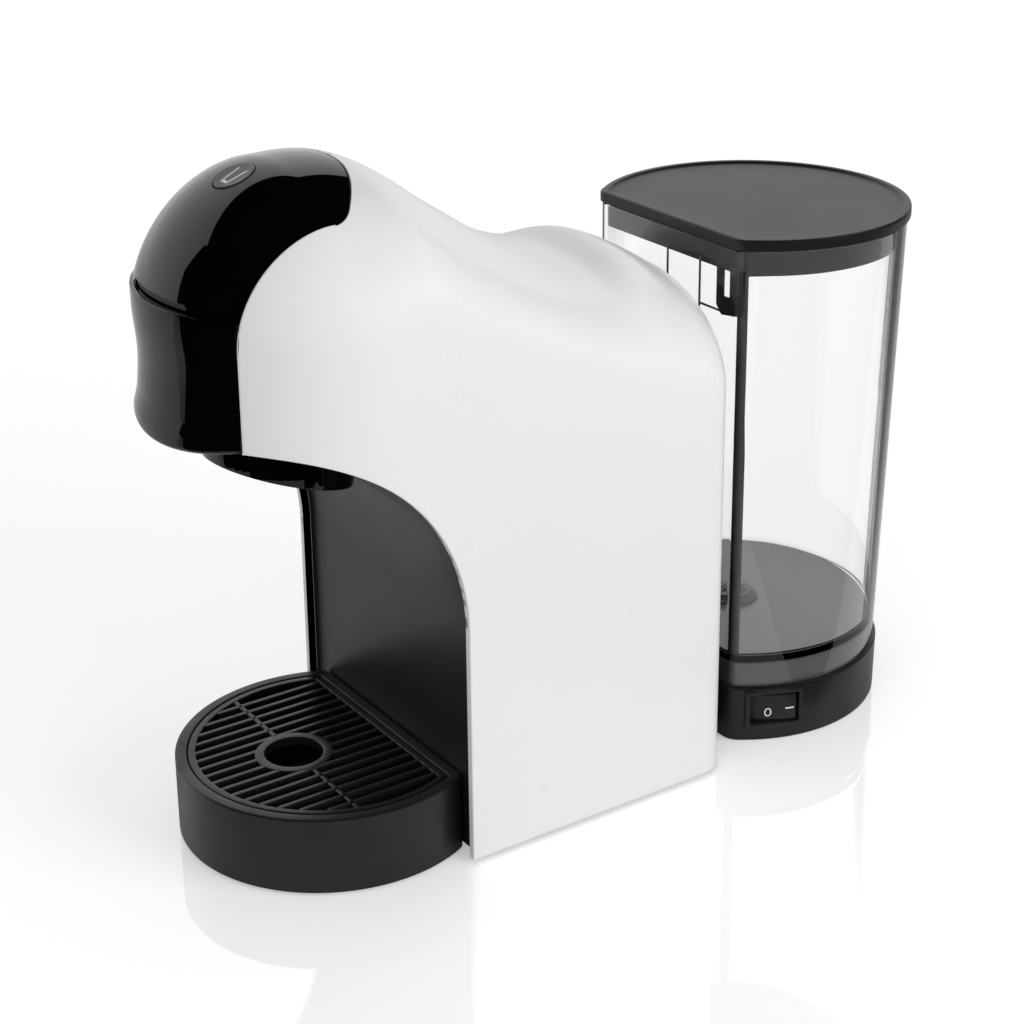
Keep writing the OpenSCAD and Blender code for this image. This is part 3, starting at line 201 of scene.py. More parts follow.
class Build:
    """Collects vertices, faces, wanted normals and material numbers of one piece."""

    def __init__(self):
        self.v, self.f, self.n, self.m = [], [], [], []
        self.count = 0

    def grid(self, rows, normals=None, closed=False, flip=False, mat=0):
        """Faces between rows of points of one length. closed joins the ends of each row."""
        rows = [np.asarray(r, float) for r in rows]
        n = len(rows[0])
        base = self.count
        self.v += rows
        self.n += [np.zeros((n, 3)) for _ in rows] if normals is None else list(normals)
        self.count += n * len(rows)
        for i in range(len(rows) - 1):
            for j in range(n if closed else n - 1):
                k = (j + 1) % n
                a, c = base + i * n, base + (i + 1) * n
                q = [a + j, a + k, c + k, c + j]
                self.f.append(q[::-1] if flip else q)
                self.m.append(mat)
        return base

    def fan(self, loop, flip=False):
        """One face on a closed loop of points."""
        base = self.count
        loop = np.asarray(loop, float)
        self.v.append(loop)
        self.n.append(np.zeros((len(loop), 3)))
        self.count += len(loop)
        q = list(range(base, base + len(loop)))
        self.f.append(q[::-1] if flip else q)
        self.m.append(0)

    def keep(self, test):
        """Leaves only the faces that pass the test."""
        kept = [(q, m) for q, m in zip(self.f, self.m) if test(q)]
        self.f, self.m = [q for q, _ in kept], [m for _, m in kept]

    def mirror(self):
        """Adds the mirror image across x = 0."""
        flip = np.array([-1.0, 1.0, 1.0])
        n = self.count
        self.v += [a * flip for a in list(self.v)]
        self.n += [a * flip for a in list(self.n)]
        self.f += [[n + i for i in reversed(q)] for q in list(self.f)]
        self.m += list(self.m)
        self.count *= 2

    def piece(self, name, body, mats, replaces=(), slot=None, angle=35.0, place=None, weld=0.004):
        """Makes the mesh, turns its faces to the wanted normals and puts it on its body."""
        pts = np.vstack(self.v) * MM
        want = np.vstack(self.n)
        if place is not None:
            a = np.array(place)
            pts = pts @ a[:3, :3].T + a[:3, 3]
            want = want @ a[:3, :3].T
        me = bpy.data.meshes.new(name)
        me.from_pydata(pts.tolist(), [], self.f)
        me.polygons.foreach_set("material_index", self.m)
        me.polygons.foreach_set("use_smooth", [True] * len(me.polygons))
        layer = me.attributes.new("want", "FLOAT_VECTOR", "POINT")
        layer.data.foreach_set("vector", want.ravel())
        bm = bmesh.new()
        bm.from_mesh(me)
        if weld:
            bmesh.ops.remove_doubles(bm, verts=bm.verts, dist=weld * MM)
        wanted = bm.verts.layers.float_vector["want"]
        free = []
        for f in bm.faces:
            f.normal_update()
            w = sum((v[wanted] for v in f.verts), Vector())
            if w.length < 1e-6:
                free.append(f)
            elif w.dot(f.normal) < 0:
                f.normal_flip()
        bmesh.ops.recalc_face_normals(bm, faces=free)
        bm.to_mesh(me)
        bm.free()
        me.set_sharp_from_angle(angle=radians(angle))
        if np.any(want):
            data = np.zeros(len(me.vertices) * 3)
            me.attributes["want"].data.foreach_get("vector", data)
            data = data.reshape(-1, 3)
            index = np.zeros(len(me.loops), int)
            me.loops.foreach_get("vertex_index", index)
            me.normals_split_custom_set(data[index].tolist())
        me.attributes.remove(me.attributes["want"])
        ob = linked(name, me)
        for m in mats:
            me.materials.append(M[m])
        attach(ob, body)
        if replaces:
            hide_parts(*replaces)


def fillet(points, radii, seg=6):
    """Polyline of 2D points with each corner rounded by its radius. A radius of 0 leaves it sharp."""
    points = [np.array(p, float) for p in points]
    out = []
    n = len(points)
    for i, p in enumerate(points):
        r = radii[i] if i < len(radii) else 0
        if not r or i in (0, n - 1):
            out.append(p)
            continue
        a, b = points[i - 1] - p, points[i + 1] - p
        la, lb = np.linalg.norm(a), np.linalg.norm(b)
        a, b = a / la, b / lb
        half = acos(max(-1, min(1, float(a @ b)))) / 2
        d = min(r / tan(half), 0.48 * la, 0.48 * lb)
        r = d * tan(half)
        c = p + (a + b) / np.linalg.norm(a + b) * (r / sin(half))
        s, e = p + a * d - c, p + b * d - c
        t0 = atan2(s[1], s[0])
        t1 = atan2(e[1], e[0])
        dt = (t1 - t0 + pi) % (2 * pi) - pi
        out += [c + r * np.array([cos(t0 + dt * k / seg), sin(t0 + dt * k / seg)])
                for k in range(seg + 1)]
    return out


def edge_strip(build, p, n, toward, radius=0.5, depth=WALL, back=4.0):
    """Rounded edge along the points p of a surface with normals n, and the wall face behind it.
    toward is a point on the side that the sheet doesn't cover."""
    b = unit(np.cross(n, unit(np.gradient(p, axis=0))))
    mid = len(p) // 2
    flip = float(b[mid] @ (np.asarray(toward) - p[mid])) < 0
    if flip:
        b = -b
    depth = np.broadcast_to(np.asarray(depth, float), (len(p),))[:, None]
    rows, normals = [], []
    for a in np.linspace(0, pi / 2, 6):
        normals.append(n * cos(a) + b * sin(a))
        rows.append(p - radius * b - radius * n + radius * normals[-1])
    rows.append(p - depth * n)
    normals.append(b)
    build.grid(rows, normals, flip=flip)
    inner = [p - depth * n, p - depth * n - back * b]
    build.grid(inner, [-n, -n], flip=flip)
    build.grid([inner[1], p - WALL * n - back * b], flip=flip)


def lathe(build, profile, centre, flip=False):
    """Surface of revolution about a vertical axis. profile is a list of (radius, z)."""
    turn = np.linspace(0, 2 * pi, 96, endpoint=False)
    build.grid([at(arc(*centre, r, turn), z) for r, z in profile], closed=True, flip=flip)


D_CORNER, D_CORNER_LEAST, D_FRONT_HW = 7, 0.8, 37.7


def arc(x, y, r, turn):
    """Points of an arc about (x, y) at these angles."""
    return np.stack([x + r * np.cos(turn), y + r * np.sin(turn)], 1)


def d_outline(r, cy, flat, inset=0.0, extra=()):
    """D-shaped outline: an arc about (0, cy), straight flanks, and round corners at the flat front."""
    cr = max(D_CORNER_LEAST, D_CORNER - inset)
    cx = sqrt(max(D_FRONT_HW**2, (r - D_CORNER) ** 2 - (flat + D_CORNER - cy) ** 2))
    cx -= max(0, inset - D_CORNER + D_CORNER_LEAST)
    fy = flat + inset + cr
    d = hypot(cx, fy - cy)
    b = atan2(fy - cy, cx) + acos(min(1.0, (r - inset - cr) / d))
    turn = spaced([*np.linspace(b, pi - b, 120), *extra], 1e-4)
    left = np.linspace(pi - b, 1.5 * pi, 14)[1:]
    right = np.linspace(-pi / 2, b, 14)[:-1]
    return np.concatenate([arc(0, cy, r - inset, turn), arc(-cx, fy, cr, left), arc(cx, fy, cr, right)])


TRAY_R, TRAY_BACK = 53.0, -67.15


def tray_outline(inset=0.0):
    """Outline of the drip tray: an arc about the head's axis, closed by a straight back."""
    r, corner = TRAY_R - inset, max(1.0, 3.5 - inset / 3)
    yc = TRAY_BACK - inset - corner - HEAD_Y
    xc = sqrt((r - corner) ** 2 - yc**2)
    a = atan2(yc, xc)
    right = np.linspace(a, pi / 2, 10)[1:]
    left = np.linspace(pi / 2, pi - a, 10)[:-1]
    return np.concatenate([arc(0, HEAD_Y, r, np.linspace(pi - a, 2 * pi + a, 120)),
                           arc(xc, HEAD_Y + yc, corner, right), arc(-xc, HEAD_Y + yc, corner, left)])


def at(outline, z):
    return np.column_stack([outline, np.full(len(outline), z)])


# ---- materials ----

def new_material(name, **inputs):
    """Material whose Principled shader has these uniform values, and its node tree."""
    mat = bpy.data.materials.new(name)
    mat.use_nodes = True
    for socket, value in inputs.items():
        mat.node_tree.nodes["Principled BSDF"].inputs[socket.replace("_", " ")].default_value = value
    return mat, mat.node_tree


def node(tree, kind, *links, **values):
    """New node with sockets linked to its inputs in order, and values given to inputs by name."""
    new = tree.nodes.new(kind)
    for socket, source in zip(new.inputs, links):
        tree.links.new(source, socket)
    for socket, value in values.items():
        new.inputs[socket.replace("_", " ")].default_value = value
    return new


class Nodes:
    """Material of a finish, whose patterns follow the object's own coordinates."""

    def __init__(self, name, **inputs):
        self.mat, self.tree = new_material(name, **inputs)
        self.bsdf = self.tree.nodes["Principled BSDF"]
        self.coord = node(self.tree, "ShaderNodeTexCoord").outputs["Object"]

    def feed(self, **sockets):
        """Links these sockets to inputs of the Principled shader."""
        for name, source in sockets.items():
            self.tree.links.new(source, self.bsdf.inputs[name.replace("_", " ")])

    def noise(self, scale, detail=3.0, stretch=(1, 1, 1)):
        mapping = node(self.tree, "ShaderNodeMapping", self.coord, Scale=stretch)
        noise = node(self.tree, "ShaderNodeTexNoise", mapping.outputs[0], Scale=scale, Detail=detail)
        return noise.outputs["Fac"]

    def span(self, value, low, high, start=0.3, end=0.7):
        return node(self.tree, "ShaderNodeMapRange", value, From_Min=start, From_Max=end, To_Min=low,
                    To_Max=high).outputs["Result"]

    def mix(self, value, a, b):
        """Mix of a and b by value. a is a colour or a socket, and b a colour."""
        mixed = node(self.tree, "ShaderNodeMix", value)
        mixed.data_type = "RGBA"
        if isinstance(a, bpy.types.NodeSocket):
            self.tree.links.new(a, mixed.inputs[6])
        else:
            mixed.inputs[6].default_value = (*a, 1)
        mixed.inputs[7].default_value = (*b, 1)
        return mixed.outputs[2]

    def bump(self, value, strength, distance, chain=None):
        bump = node(self.tree, "ShaderNodeBump", Strength=strength, Distance=distance)
        self.tree.links.new(value, bump.inputs["Height"])
        if chain is not None:
            self.tree.links.new(chain, bump.inputs["Normal"])
        return bump.outputs["Normal"]


M = {}
DUST = (0.55, 0.55, 0.55)


def finish(name, color, rough, tone=0.05, drift=0.25, metal=0.0, coat=0.0, coat_rough=0.05,
           grain=0.0, grain_scale=1500.0, wave=0.0, stretch=(1, 1, 1), ior=1.5, dust=0.0,
           transmission=0.0, speck=None):
    """A moulded, coated, cast or brushed finish: tone varies over patches, roughness drifts with
    smudges, grain is the fine moulded texture, and wave the faint unevenness of a glossy skin."""
    n = Nodes(name, Metallic=metal, Coat_Weight=coat, Coat_Roughness=coat_rough, IOR=ior,
              Transmission_Weight=transmission)
    c = np.array(color)
    blotch = n.span(n.noise(35, 4.0), 0, 1)
    base = n.mix(blotch, tuple(c * (1 - tone)), tuple(np.minimum(1, c * (1 + tone))))
    if dust:
        base = n.mix(n.span(n.noise(2600, 1.0), 0, dust, 0.72, 0.8), base, DUST)
    if speck:
        base = n.mix(n.span(n.noise(900, 2.0), 0, 1, 0.5, 0.62), base, speck)
    smudge = n.noise(60, 5.0, stretch)
    n.feed(Base_Color=base, Roughness=n.span(smudge, rough * (1 - drift), rough * (1 + drift)))
    normal = None
    if wave:
        normal = n.bump(n.noise(220, 2.0), wave, 0.0001)
    if grain:
        normal = n.bump(n.noise(grain_scale, 2.0, stretch), grain, 0.0001, normal)
    if normal is not None:
        n.feed(Normal=normal)
    M[name] = n.mat


def clear_plastic(name, tint, rough, wave):
    n = Nodes(name, Base_Color=(*tint, 1), Transmission_Weight=1.0, IOR=1.49)
    n.feed(Roughness=n.span(n.noise(50, 5.0), rough * 0.5, rough * 1.6),
           Normal=n.bump(n.noise(90, 1.0, (1, 1, 0.3)), wave, 0.0002))
    M[name] = n.mat


finish("white_gloss", (0.83, 0.83, 0.827), 0.3, tone=0.006, coat=0.2, coat_rough=0.16, grain=0.012,
       grain_scale=2600, drift=0.1)
finish("black_gloss", (0.0015, 0.0015, 0.0016), 0.03, ior=1.43, tone=0.2, wave=0.012, drift=0.2,
       dust=0.02)
finish("black_satin", (0.011, 0.011, 0.0115), 0.36, tone=0.12, grain=0.22, grain_scale=2400)
finish("charcoal", (0.013, 0.013, 0.0135), 0.34, tone=0.03, drift=0.06, grain=0.2, grain_scale=2600)
finish("tray_satin", (0.012, 0.012, 0.0125), 0.38, tone=0.1, grain=0.3, grain_scale=2600)
finish("dark_lid", (0.013, 0.013, 0.0133), 0.4, ior=1.42, tone=0.01, drift=0.03, grain=0.2,
       grain_scale=2400)
finish("grid_black", (0.007, 0.007, 0.008), 0.32, tone=0.1, grain=0.15, grain_scale=2600)
# lighter grey for the lever's chamfer: a painted reflection of the bright floor below
finish("chamfer_painted_reflection_grey", (0.06, 0.06, 0.061), 0.3, tone=0.05, drift=0.1, grain=0.1)
# grey painted as shade on the tank's floor, for the dark dock seen through it
finish("tank_floor_painted_shade_grey", (0.3, 0.3, 0.302), 0.22, tone=0.02, drift=0.08, grain=0.06)
# grey painted as shade: the tank's ribs as refraction darkens them, and the skirt of its foot
finish("painted_shade_grey", (0.1, 0.1, 0.102), 0.45, tone=0.05, drift=0.1, grain=0.1)
finish("button_satin", (0.02, 0.02, 0.021), 0.3, tone=0.08, grain=0.15, grain_scale=3000)
finish("grey_plastic", (0.19, 0.19, 0.2), 0.4, tone=0.06, grain=0.2, grain_scale=2200)
finish("steel", (0.55, 0.55, 0.54), 0.24, tone=0.06, metal=1.0, grain=0.12, grain_scale=400,
       stretch=(1, 1, 14))
finish("aluminium", (0.62, 0.62, 0.61), 0.42, tone=0.08, metal=1.0, grain=0.5, grain_scale=900)
finish("rubber_black", (0.02, 0.02, 0.02), 0.7, tone=0.15, grain=0.35, grain_scale=1800, dust=0.05)
finish("silicone_red", (0.42, 0.09, 0.05), 0.5, tone=0.08, grain=0.1, grain_scale=1500)
finish("hose_white", (0.66, 0.67, 0.66), 0.32, tone=0.05, grain=0.08, grain_scale=900,
       transmission=0.15)
finish("pcb_green", (0.012, 0.09, 0.035), 0.35, tone=0.25, grain=0.5, grain_scale=700,
       speck=(0.03, 0.2, 0.07))
finish("pump_brown", (0.3, 0.17, 0.09), 0.45, tone=0.12, grain=0.25, grain_scale=1600)
finish("ceramic", (0.74, 0.71, 0.64), 0.55, tone=0.06, grain=0.2, grain_scale=1400)
finish("print_white", (0.78, 0.78, 0.78), 0.5, tone=0.03, grain=0.1)
clear_plastic("clear_tank", (0.998, 0.999, 0.998), 0.008, 0.008)


# ---- body shell ----

WALL_N, ARCH_N = 14, 44


def ring(y, low, x_end, inset=0.0):
    """Points up one side of a cross-section, from height low to half width x_end."""
    w, zs, h = (float(v) for v in section(y, inset))
    end = acos(min(1.0, max(0.0, x_end / max(w, 1e-6))) ** (ROUND / 2))
    if low < zs:
        start = 0.0
        z = list(np.linspace(low, zs, WALL_N, endpoint=False))
    else:
        start = asin(min(1.0, (low - zs) / h) ** (ROUND / 2))
        z = []
    a = np.linspace(start, max(start, end), WALL_N + ARCH_N - len(z))
    pts = [(w, y, q) for q in z]
    across = [w * max(0.0, cos(t)) ** (2 / ROUND) for t in a]
    up = [zs + h * max(0.0, sin(t)) ** (2 / ROUND) for t in a]
    return np.array(pts + [(x, y, z) for x, z in zip(across, up)])


def front_of_band(inset):
    """Where the edge of the band meets the round front of the head."""
    return halved(lambda y: float(half_w(y)) < float(band_edge(y, inset)))


def arch_low(y, grow):
    return ARCH_Z + sqrt(max(0.0, (ARCH_R + grow) ** 2 - (y - ARCH_Y) ** 2))


def side_sheet(build, inset, trim, flip):
    """One side of the shell, from the lower edges to the band, at a depth below the surface."""
    y0 = front_of_band(-trim)
    leg = LEG_Y + trim
    arch_y = ARCH_Y + (ARCH_R + trim) * np.cos(np.radians(np.arange(0, 89, 2.0)))
    rear = REAR_Y - REAR_CORNER + (REAR_CORNER - inset) * np.sin(np.linspace(0, pi / 2, 20))
    head = HEAD_Y - HEAD_R * np.sin(np.radians(np.arange(2, 52, 2)))
    middle = np.arange(HEAD_Y, REAR_Y - REAR_CORNER, 1.6)
    ys = spaced([*arch_y, *band_stations(-trim), *rear, *middle, *head, y0, leg, REAR_Y - REAR_EDGE,
                 REAR_Y - REAR_EDGE / 3], 0.05, y0, REAR_Y - inset + 1e-6)
    ys[0] = y0
    ys = sorted([y for y in ys if abs(y - leg) > 0.06] + [leg])
    ends = [float(band_edge(y, -trim)) if y < BAND_END + trim else 0.0 for y in ys]
    upper = [ring(y, arch_low(y, trim) if y < leg else ARCH_Z, e, inset) for y, e in zip(ys, ends)]
    lower = [np.array([(float(half_w(y, inset)), y, z) for z in np.linspace(BASE_Z, ARCH_Z, 8)])
             for y in ys if y >= leg - 1e-6]
    for rows in (upper, lower):
        build.grid(rows, [(1, -1)[flip] * form_normals(r, inset) for r in rows], flip=flip)


BAND_STRAIGHT_END = -103.2


def band_curve(inset, low=None):
    """Points of the band's edge on the surface, on the +x side, from the front to the middle of the
    rear end. low adds the run down the front of the head to that height."""
    y0 = front_of_band(inset)
    ys = spaced([*np.linspace(y0, BAND_STRAIGHT_END, 60), *band_stations(inset)], 0.004, y0)
    ys = np.concatenate([y0 + (ys[1] - y0) * np.linspace(0, 1, 8)[:-1] ** 2, ys[1:]])
    xs = band_edge(ys, inset)
    xs[0] = half_w(ys[0])
    pts = np.column_stack([xs, ys, top_z(xs, ys)])
    pts[-1, 0] = 0.0
    if low is not None:
        run = [(pts[0, 0], y0, z) for z in np.linspace(low, float(shoulder(y0)), 20, endpoint=False)]
        pts = np.vstack([run, pts])
    return pts


def outer_shell():
    b = Build()
    r = 0.5
    side_sheet(b, 0.0, 0.8 * r, False)
    side_sheet(b, WALL, 0.0, True)
    y0 = front_of_band(0.0)
    p = band_curve(0.0, arch_low(y0, 0))
    edge_strip(b, p, form_normals(p), (0, -110, 215), r)
    arch = [(y, arch_low(y, 0)) for y in ARCH_Y + ARCH_R * np.cos(np.linspace(
        acos((y0 - ARCH_Y) / ARCH_R), 0, 80))]
    arch += [(LEG_Y, z) for z in np.linspace(ARCH_Z, BASE_Z, 12)[1:]]
    p = np.array([(float(half_w(y)), y, z) for y, z in arch])
    edge_strip(b, p, form_normals(p), (57, -130, 90), r, back=3.0)
    # rear wall round the opening
    outer = ring(REAR_Y, BASE_Z, 0.0)
    w = float(half_w(REAR_Y))
    low = np.maximum(BASE_Z, outer[:, 2] - 5)
    inner = np.column_stack([outer[:, 0] * (1 - 6 / w), outer[:, 1], low])
    b.grid([outer, inner, inner - [0, WALL, 0]])
    b.mirror()
    b.piece("body_shell", "machine", ["white_gloss"], ["outer_shell"], "white_gloss", angle=30)


outer_shell()


# ---- lever cover ----

LIP_HW, LIP_Z, LIP_ROWS = 18.0, 201.2, 56
LEVER_EDGE = 0.45
BUTTON_UP = np.array([0, -sin(BUTTON_LEAN), cos(BUTTON_LEAN)])


def at_level(y, z, inset=0.0):
    """Half width of the form at y, at height z."""
    w, zs, h = (float(v) for v in section(y, inset))
    return w * max(0.0, 1 - min(1.0, (z - zs) / h) ** ROUND) ** (1 / ROUND)


def crest_at(z):
    """Where the crest reaches height z, on the front half of the head."""
    return halved(lambda y: float(crest(y)) < z)


def cover_rows(inset, trim, rear_trim):
    """Cross-sections of the cover from the finger lip to its rear end, at a depth below the surface."""
    low_z = PART_Z + (0.3 if not inset else 0)
    y_tip = crest_at(LIP_Z + inset) + inset * 0.2
    y_end = BAND_END - rear_trim
    nose = [y_tip + 46 * (1 - cos(a)) for a in np.linspace(0, pi / 2, 70)]
    ys = [*nose, *band_stations(trim), *np.arange(-125, -84, 1.2), y_end]
    rows = []
    for y in spaced(ys, 0.03, y_tip, y_end + 1e-6):
        x_low = at_level(y, LIP_Z if at_level(y, LIP_Z, inset) < LIP_HW else low_z, inset)
        edge = float(band_edge(y, trim))
        if y > BOW_Y:
            edge = min(edge, sqrt(max(0.0, (HEAD_R - rear_trim) ** 2 - (y - BAND_END + HEAD_R) ** 2)))
        w, zs, h = (float(v) for v in section(y, inset))
        a = np.linspace(acos(min(1.0, min(x_low, edge) / w) ** (ROUND / 2)), pi / 2, LIP_ROWS)
        half = np.column_stack([w * np.cos(a) ** (2 / ROUND), np.full(LIP_ROWS, y),
                                zs + h * np.sin(a) ** (2 / ROUND)])
        half[-1, 0] = 0
        rows.append(np.vstack([half, half[:-1][::-1] * np.array([-1, 1, 1])]))
    return rows


def lift(q):
    """The point of the surface above or below q."""
    return np.array([q[0], q[1], float(top_z(np.array([q[0]]), np.array([q[1]]))[0])])


def on_rim(q, radius):
    """Point of the surface at this distance from the button's axis, in the direction of q."""
    for _ in range(4):
        q = lift(q)
        f = q - BUTTON - ((q - BUTTON) @ BUTTON_UP) * BUTTON_UP
        q = BUTTON + f * (radius / max(np.linalg.norm(f), 1e-6))
    return lift(q)


def cover_skin(build):
    """Outer skin of the cover, with the hole of the button cut out of its grid."""
    rows = cover_rows(0.0, SEAM + 0.8 * LEVER_EDGE, SEAM + 0.8 * LEVER_EDGE)
    grid = np.array(rows)
    ax = (grid - BUTTON) @ BUTTON_UP
    flat = grid - BUTTON - ax[..., None] * BUTTON_UP
    dist = np.linalg.norm(flat, axis=2)
    inside = (dist < HOLE_R) & (np.abs(ax) < 8)
    base = build.grid(rows)
    n = grid.shape[1]

    def place(q):
        return [((i - base) // n, (i - base) % n) for i in q]

    build.keep(lambda q: not all(inside[i] for i in place(q)))
    used = np.zeros(grid.shape[:2], bool)
    for q in build.f:
        for i in place(q):
            used[i] = True
    rim = HOLE_R + 0.02
    for i, j in zip(*np.nonzero(inside & used)):
        build.v[i][j] = on_rim(BUTTON + flat[i, j] * (rim / max(dist[i, j], 1e-6)), rim)
    build.n = [form_normals(v) for v in build.v]


def hole_edge(build):
    """Rounded edge and wall of the button's hole."""
    side = np.array([1.0, 0, 0])
    along = np.cross(BUTTON_UP, side)
    rim = np.array([on_rim(BUTTON + HOLE_R * (cos(a) * side + sin(a) * along), HOLE_R)
                    for a in np.linspace(0, 2 * pi, 97)])
    up = form_normals(rim)
    inward = BUTTON - rim
    inward = unit(inward - (inward @ BUTTON_UP)[:, None] * BUTTON_UP)
    normals = [up * cos(a) + inward * sin(a) for a in np.linspace(0, pi / 2, 5)]
    rows = [rim - 0.3 * inward - 0.3 * up + 0.3 * n for n in normals]
    build.grid(rows + [rim - 6 * BUTTON_UP], normals + [inward], flip=True)


def finger_recess(build):
    """Chamfer of the finger recess at the lip, in a lighter grey that is painted reflection, and the ledge
    behind it.
    """
    ys = np.linspace(crest_at(LIP_Z), crest_at(LIP_Z) + 12, 160)
    lip = sorted((at_level(y, LIP_Z), y) for y in ys)
    rows = [[], [], [], []]
    for t in np.linspace(-1, 1, 61):
        x = LIP_HW * t
        q = np.array([x, np.interp(abs(x), *zip(*lip)), LIP_Z])
        out = form_normals(q[None])[0] * [1, 1, 0]
        out /= np.linalg.norm(out)
        for row, back, drop_z in zip(rows, (0, 0.15, 0.55, 4.5), (-0.05, 0.2, 2.0, 2.2)):
            row.append(q - back * out - np.array([0, 0, drop_z]))
    # the chamfer's lighter grey is a painted reflection of the bright floor below
    build.grid(rows[:3], mat=1)
    build.grid(rows[2:])
    for j in (0, -1):
        inner = rows[2][j] + (rows[0][j] - rows[2][j]) * [1, 1, 0]
        build.fan([rows[0][j], rows[1][j], rows[2][j], inner], flip=j == 0)


def lever_cover():
    b = Build()
    cover_skin(b)
    inner = cover_rows(WALL, SEAM, SEAM + 3.2)
    b.grid(inner, [-form_normals(q, WALL) for q in inner], flip=True)
    hole_edge(b)
    # side and rear edge, thin at the rear. The strip lies outside the edge, under the shell, since the
    # point given doesn't suit the middle of this curve
    p = band_curve(SEAM)
    p = p[np.argmax(p[:, 2] > PART_Z):]
    p = np.vstack([p, (p[:-1] * np.array([-1, 1, 1]))[::-1]])
    depth = np.where(p[:, 1] > BAND_END - 14, 0.6, WALL)
    edge_strip(b, p, form_normals(p), (90, -110, 200), LEVER_EDGE, depth=depth, back=3.2)
    # lower edge over the parting line, left and right of the finger recess
    ys = np.linspace(HEAD_Y - HEAD_R + 0.5, front_of_band(SEAM) + 3, 400)
    low = np.array([(at_level(y, PART_Z), y, PART_Z) for y in ys])
    low = low[(low[:, 0] >= LIP_HW) & (low[:, 0] <= band_edge(low[:, 1], SEAM) + 0.1)]
    for s in (1, -1):
        p = low * np.array([s, 1, 1])
        edge_strip(b, p, form_normals(p), (0, -140, 150), LEVER_EDGE)
    finger_recess(b)
    b.piece("lever_top", "lever", ["black_gloss", "chamfer_painted_reflection_grey"], ["lever_cover"],
                   "black_gloss", angle=40)


lever_cover()


# ---- front of the pod drawer ----

GRIP_BOTTOM, GRIP_TOP, GRIP_HW, GRIP_IN, GRIP_BACK = 153.2, 198.5, 34.8, 53.4, 41.0
GRIP_BOW = 155
SHELF_LOW, SHELF_TOP = 155.7, 196.0


def grip_r(z):
    t = (z - GRIP_BOTTOM) / (PART_Z - GRIP_BOTTOM)
    waist = sin(pi * min(1, max(0, (t - 0.12) / 0.75))) ** 2
    return HEAD_R - 0.2 - waist + 1.9 * max(0, 1 - abs(t - 0.05) / 0.2) ** 1.5


def drawer_grip():
    b = Build()
    rows = []
    edge = 0.45
    xs = [GRIP_HW - edge + edge * sin(a) for a in np.linspace(pi / 2, 0, 6)]
    xs = xs + list(np.linspace(GRIP_HW - edge, 0, 60)[1:])
    xs = xs + [-x for x in xs[:-1]][::-1]
    for x in xs:
        d = max(0.0, abs(x) - GRIP_HW + edge)
        inset = edge - sqrt(max(0.0, edge**2 - d**2))
        low = GRIP_BOTTOM - 0.1 + GRIP_BOW - sqrt(GRIP_BOW**2 - x**2) + inset
        top = GRIP_TOP - inset
        wall = [(grip_r(z) - inset, z) for z in np.linspace(top, low, 48)]
        pts = [(GRIP_BACK, top)] + fillet([(GRIP_BACK, top), wall[0], wall[5]], [0, 0.5, 0], 5)[1:-1]
        pts += wall[5:-5] + fillet([wall[-6], wall[-1], (GRIP_BACK, low)], [0, 1.7, 0], 8)[1:-1]
        pts += [(GRIP_BACK, low), (GRIP_BACK, SHELF_LOW if low < SHELF_LOW else low + 0.01),
                (GRIP_IN, max(SHELF_LOW, low + 0.02)), (GRIP_IN, SHELF_TOP), (GRIP_BACK, SHELF_TOP),
                (GRIP_BACK, top)]
        rows.append([(x, HEAD_Y - sqrt(max(0.0, q[0] ** 2 - x**2)), q[1]) for q in pts])
    b.grid(rows)
    b.fan(rows[0], flip=True)
    b.fan(rows[-1])
    b.piece("drawer_grip", "drawer", ["black_gloss"], ["drawer_front"], "black_gloss", angle=32)


drawer_grip()


# ---- brew button with its tumbler mark ----

def frame_at(origin, x, y, z):
    """Matrix of a frame at this origin in millimetres, with these axes."""
    columns = [(*x, 0), (*y, 0), (*z, 0), (*(c * MM for c in origin), 1)]
    return Matrix(columns).transposed()


def bar(build, a, b, width, z0, z1):
    """Flat bar with rounded ends from a to b, in a plane, between two heights."""
    a, b = np.array(a, float), np.array(b, float)
    d = (b - a) / np.linalg.norm(b - a)
    n = np.array([-d[1], d[0]])
    loop = np.array([end + width / 2 * (d * cos(k) + n * sin(k))
                     for end, first in ((b, -pi / 2), (a, pi / 2))
                     for k in np.linspace(first, first + pi, 7)])
    build.grid([at(loop, z0), at(loop, z1)], closed=True)
    build.fan(at(loop, z1))


def brew_button():
    place = frame_at(BUTTON, (1, 0, 0), (0, cos(BUTTON_LEAN), sin(BUTTON_LEAN)), BUTTON_UP)
    b = Build()
    profile = fillet([(0.01, 0.12), (4.9, 0.13), (BUTTON_R, 0.3), (BUTTON_R, -4), (1.6, -4), (1.6, -6),
                      (0.01, -6)], [0, 1.4, 0.5, 0.2, 0.1, 0.2, 0], 6)
    lathe(b, profile, (0, 0), flip=True)
    b.piece("button_cap", "button", ["button_satin"], ["brew_button"], "black_satin", place=place,
            angle=40)
    mark = Build()
    z = 0.16
    left, right = (-1.7, -3.6), (1.7, -3.6)
    for start, end, width in ((left, right, 1.15), (left, (-2.6, 3.4), 0.7), (right, (2.6, 3.4), 0.7)):
        bar(mark, start, end, width, z - 0.1, z)
    mark.piece("button_mark", "button", ["print_white"], place=place, weld=0)


brew_button()


# ---- tank, lid and dock ----

# the foot is at 24.0 in the CAD
TANK_FOOT, TANK_RIM, TANK_FLOOR, TANK_UNDER, TANK_WALL = 22.2, 189.5, 34.0, 31.5, 2.2
FLOOR_IN = TANK_WALL + 6
INLET_R, VALVE_HOLE_R, PAINTED_SHADE_HOLE_R = 7.6, 7.5, 9.2


def tank_outline(z, inset):
    t = (z - TANK_FOOT) / (TANK_RIM - TANK_FOOT)
    return at(d_outline(56.2 - 2 * (1 - t), DOCK_Y + 4.2 * t, TANK_FLAT + 1, inset), z)


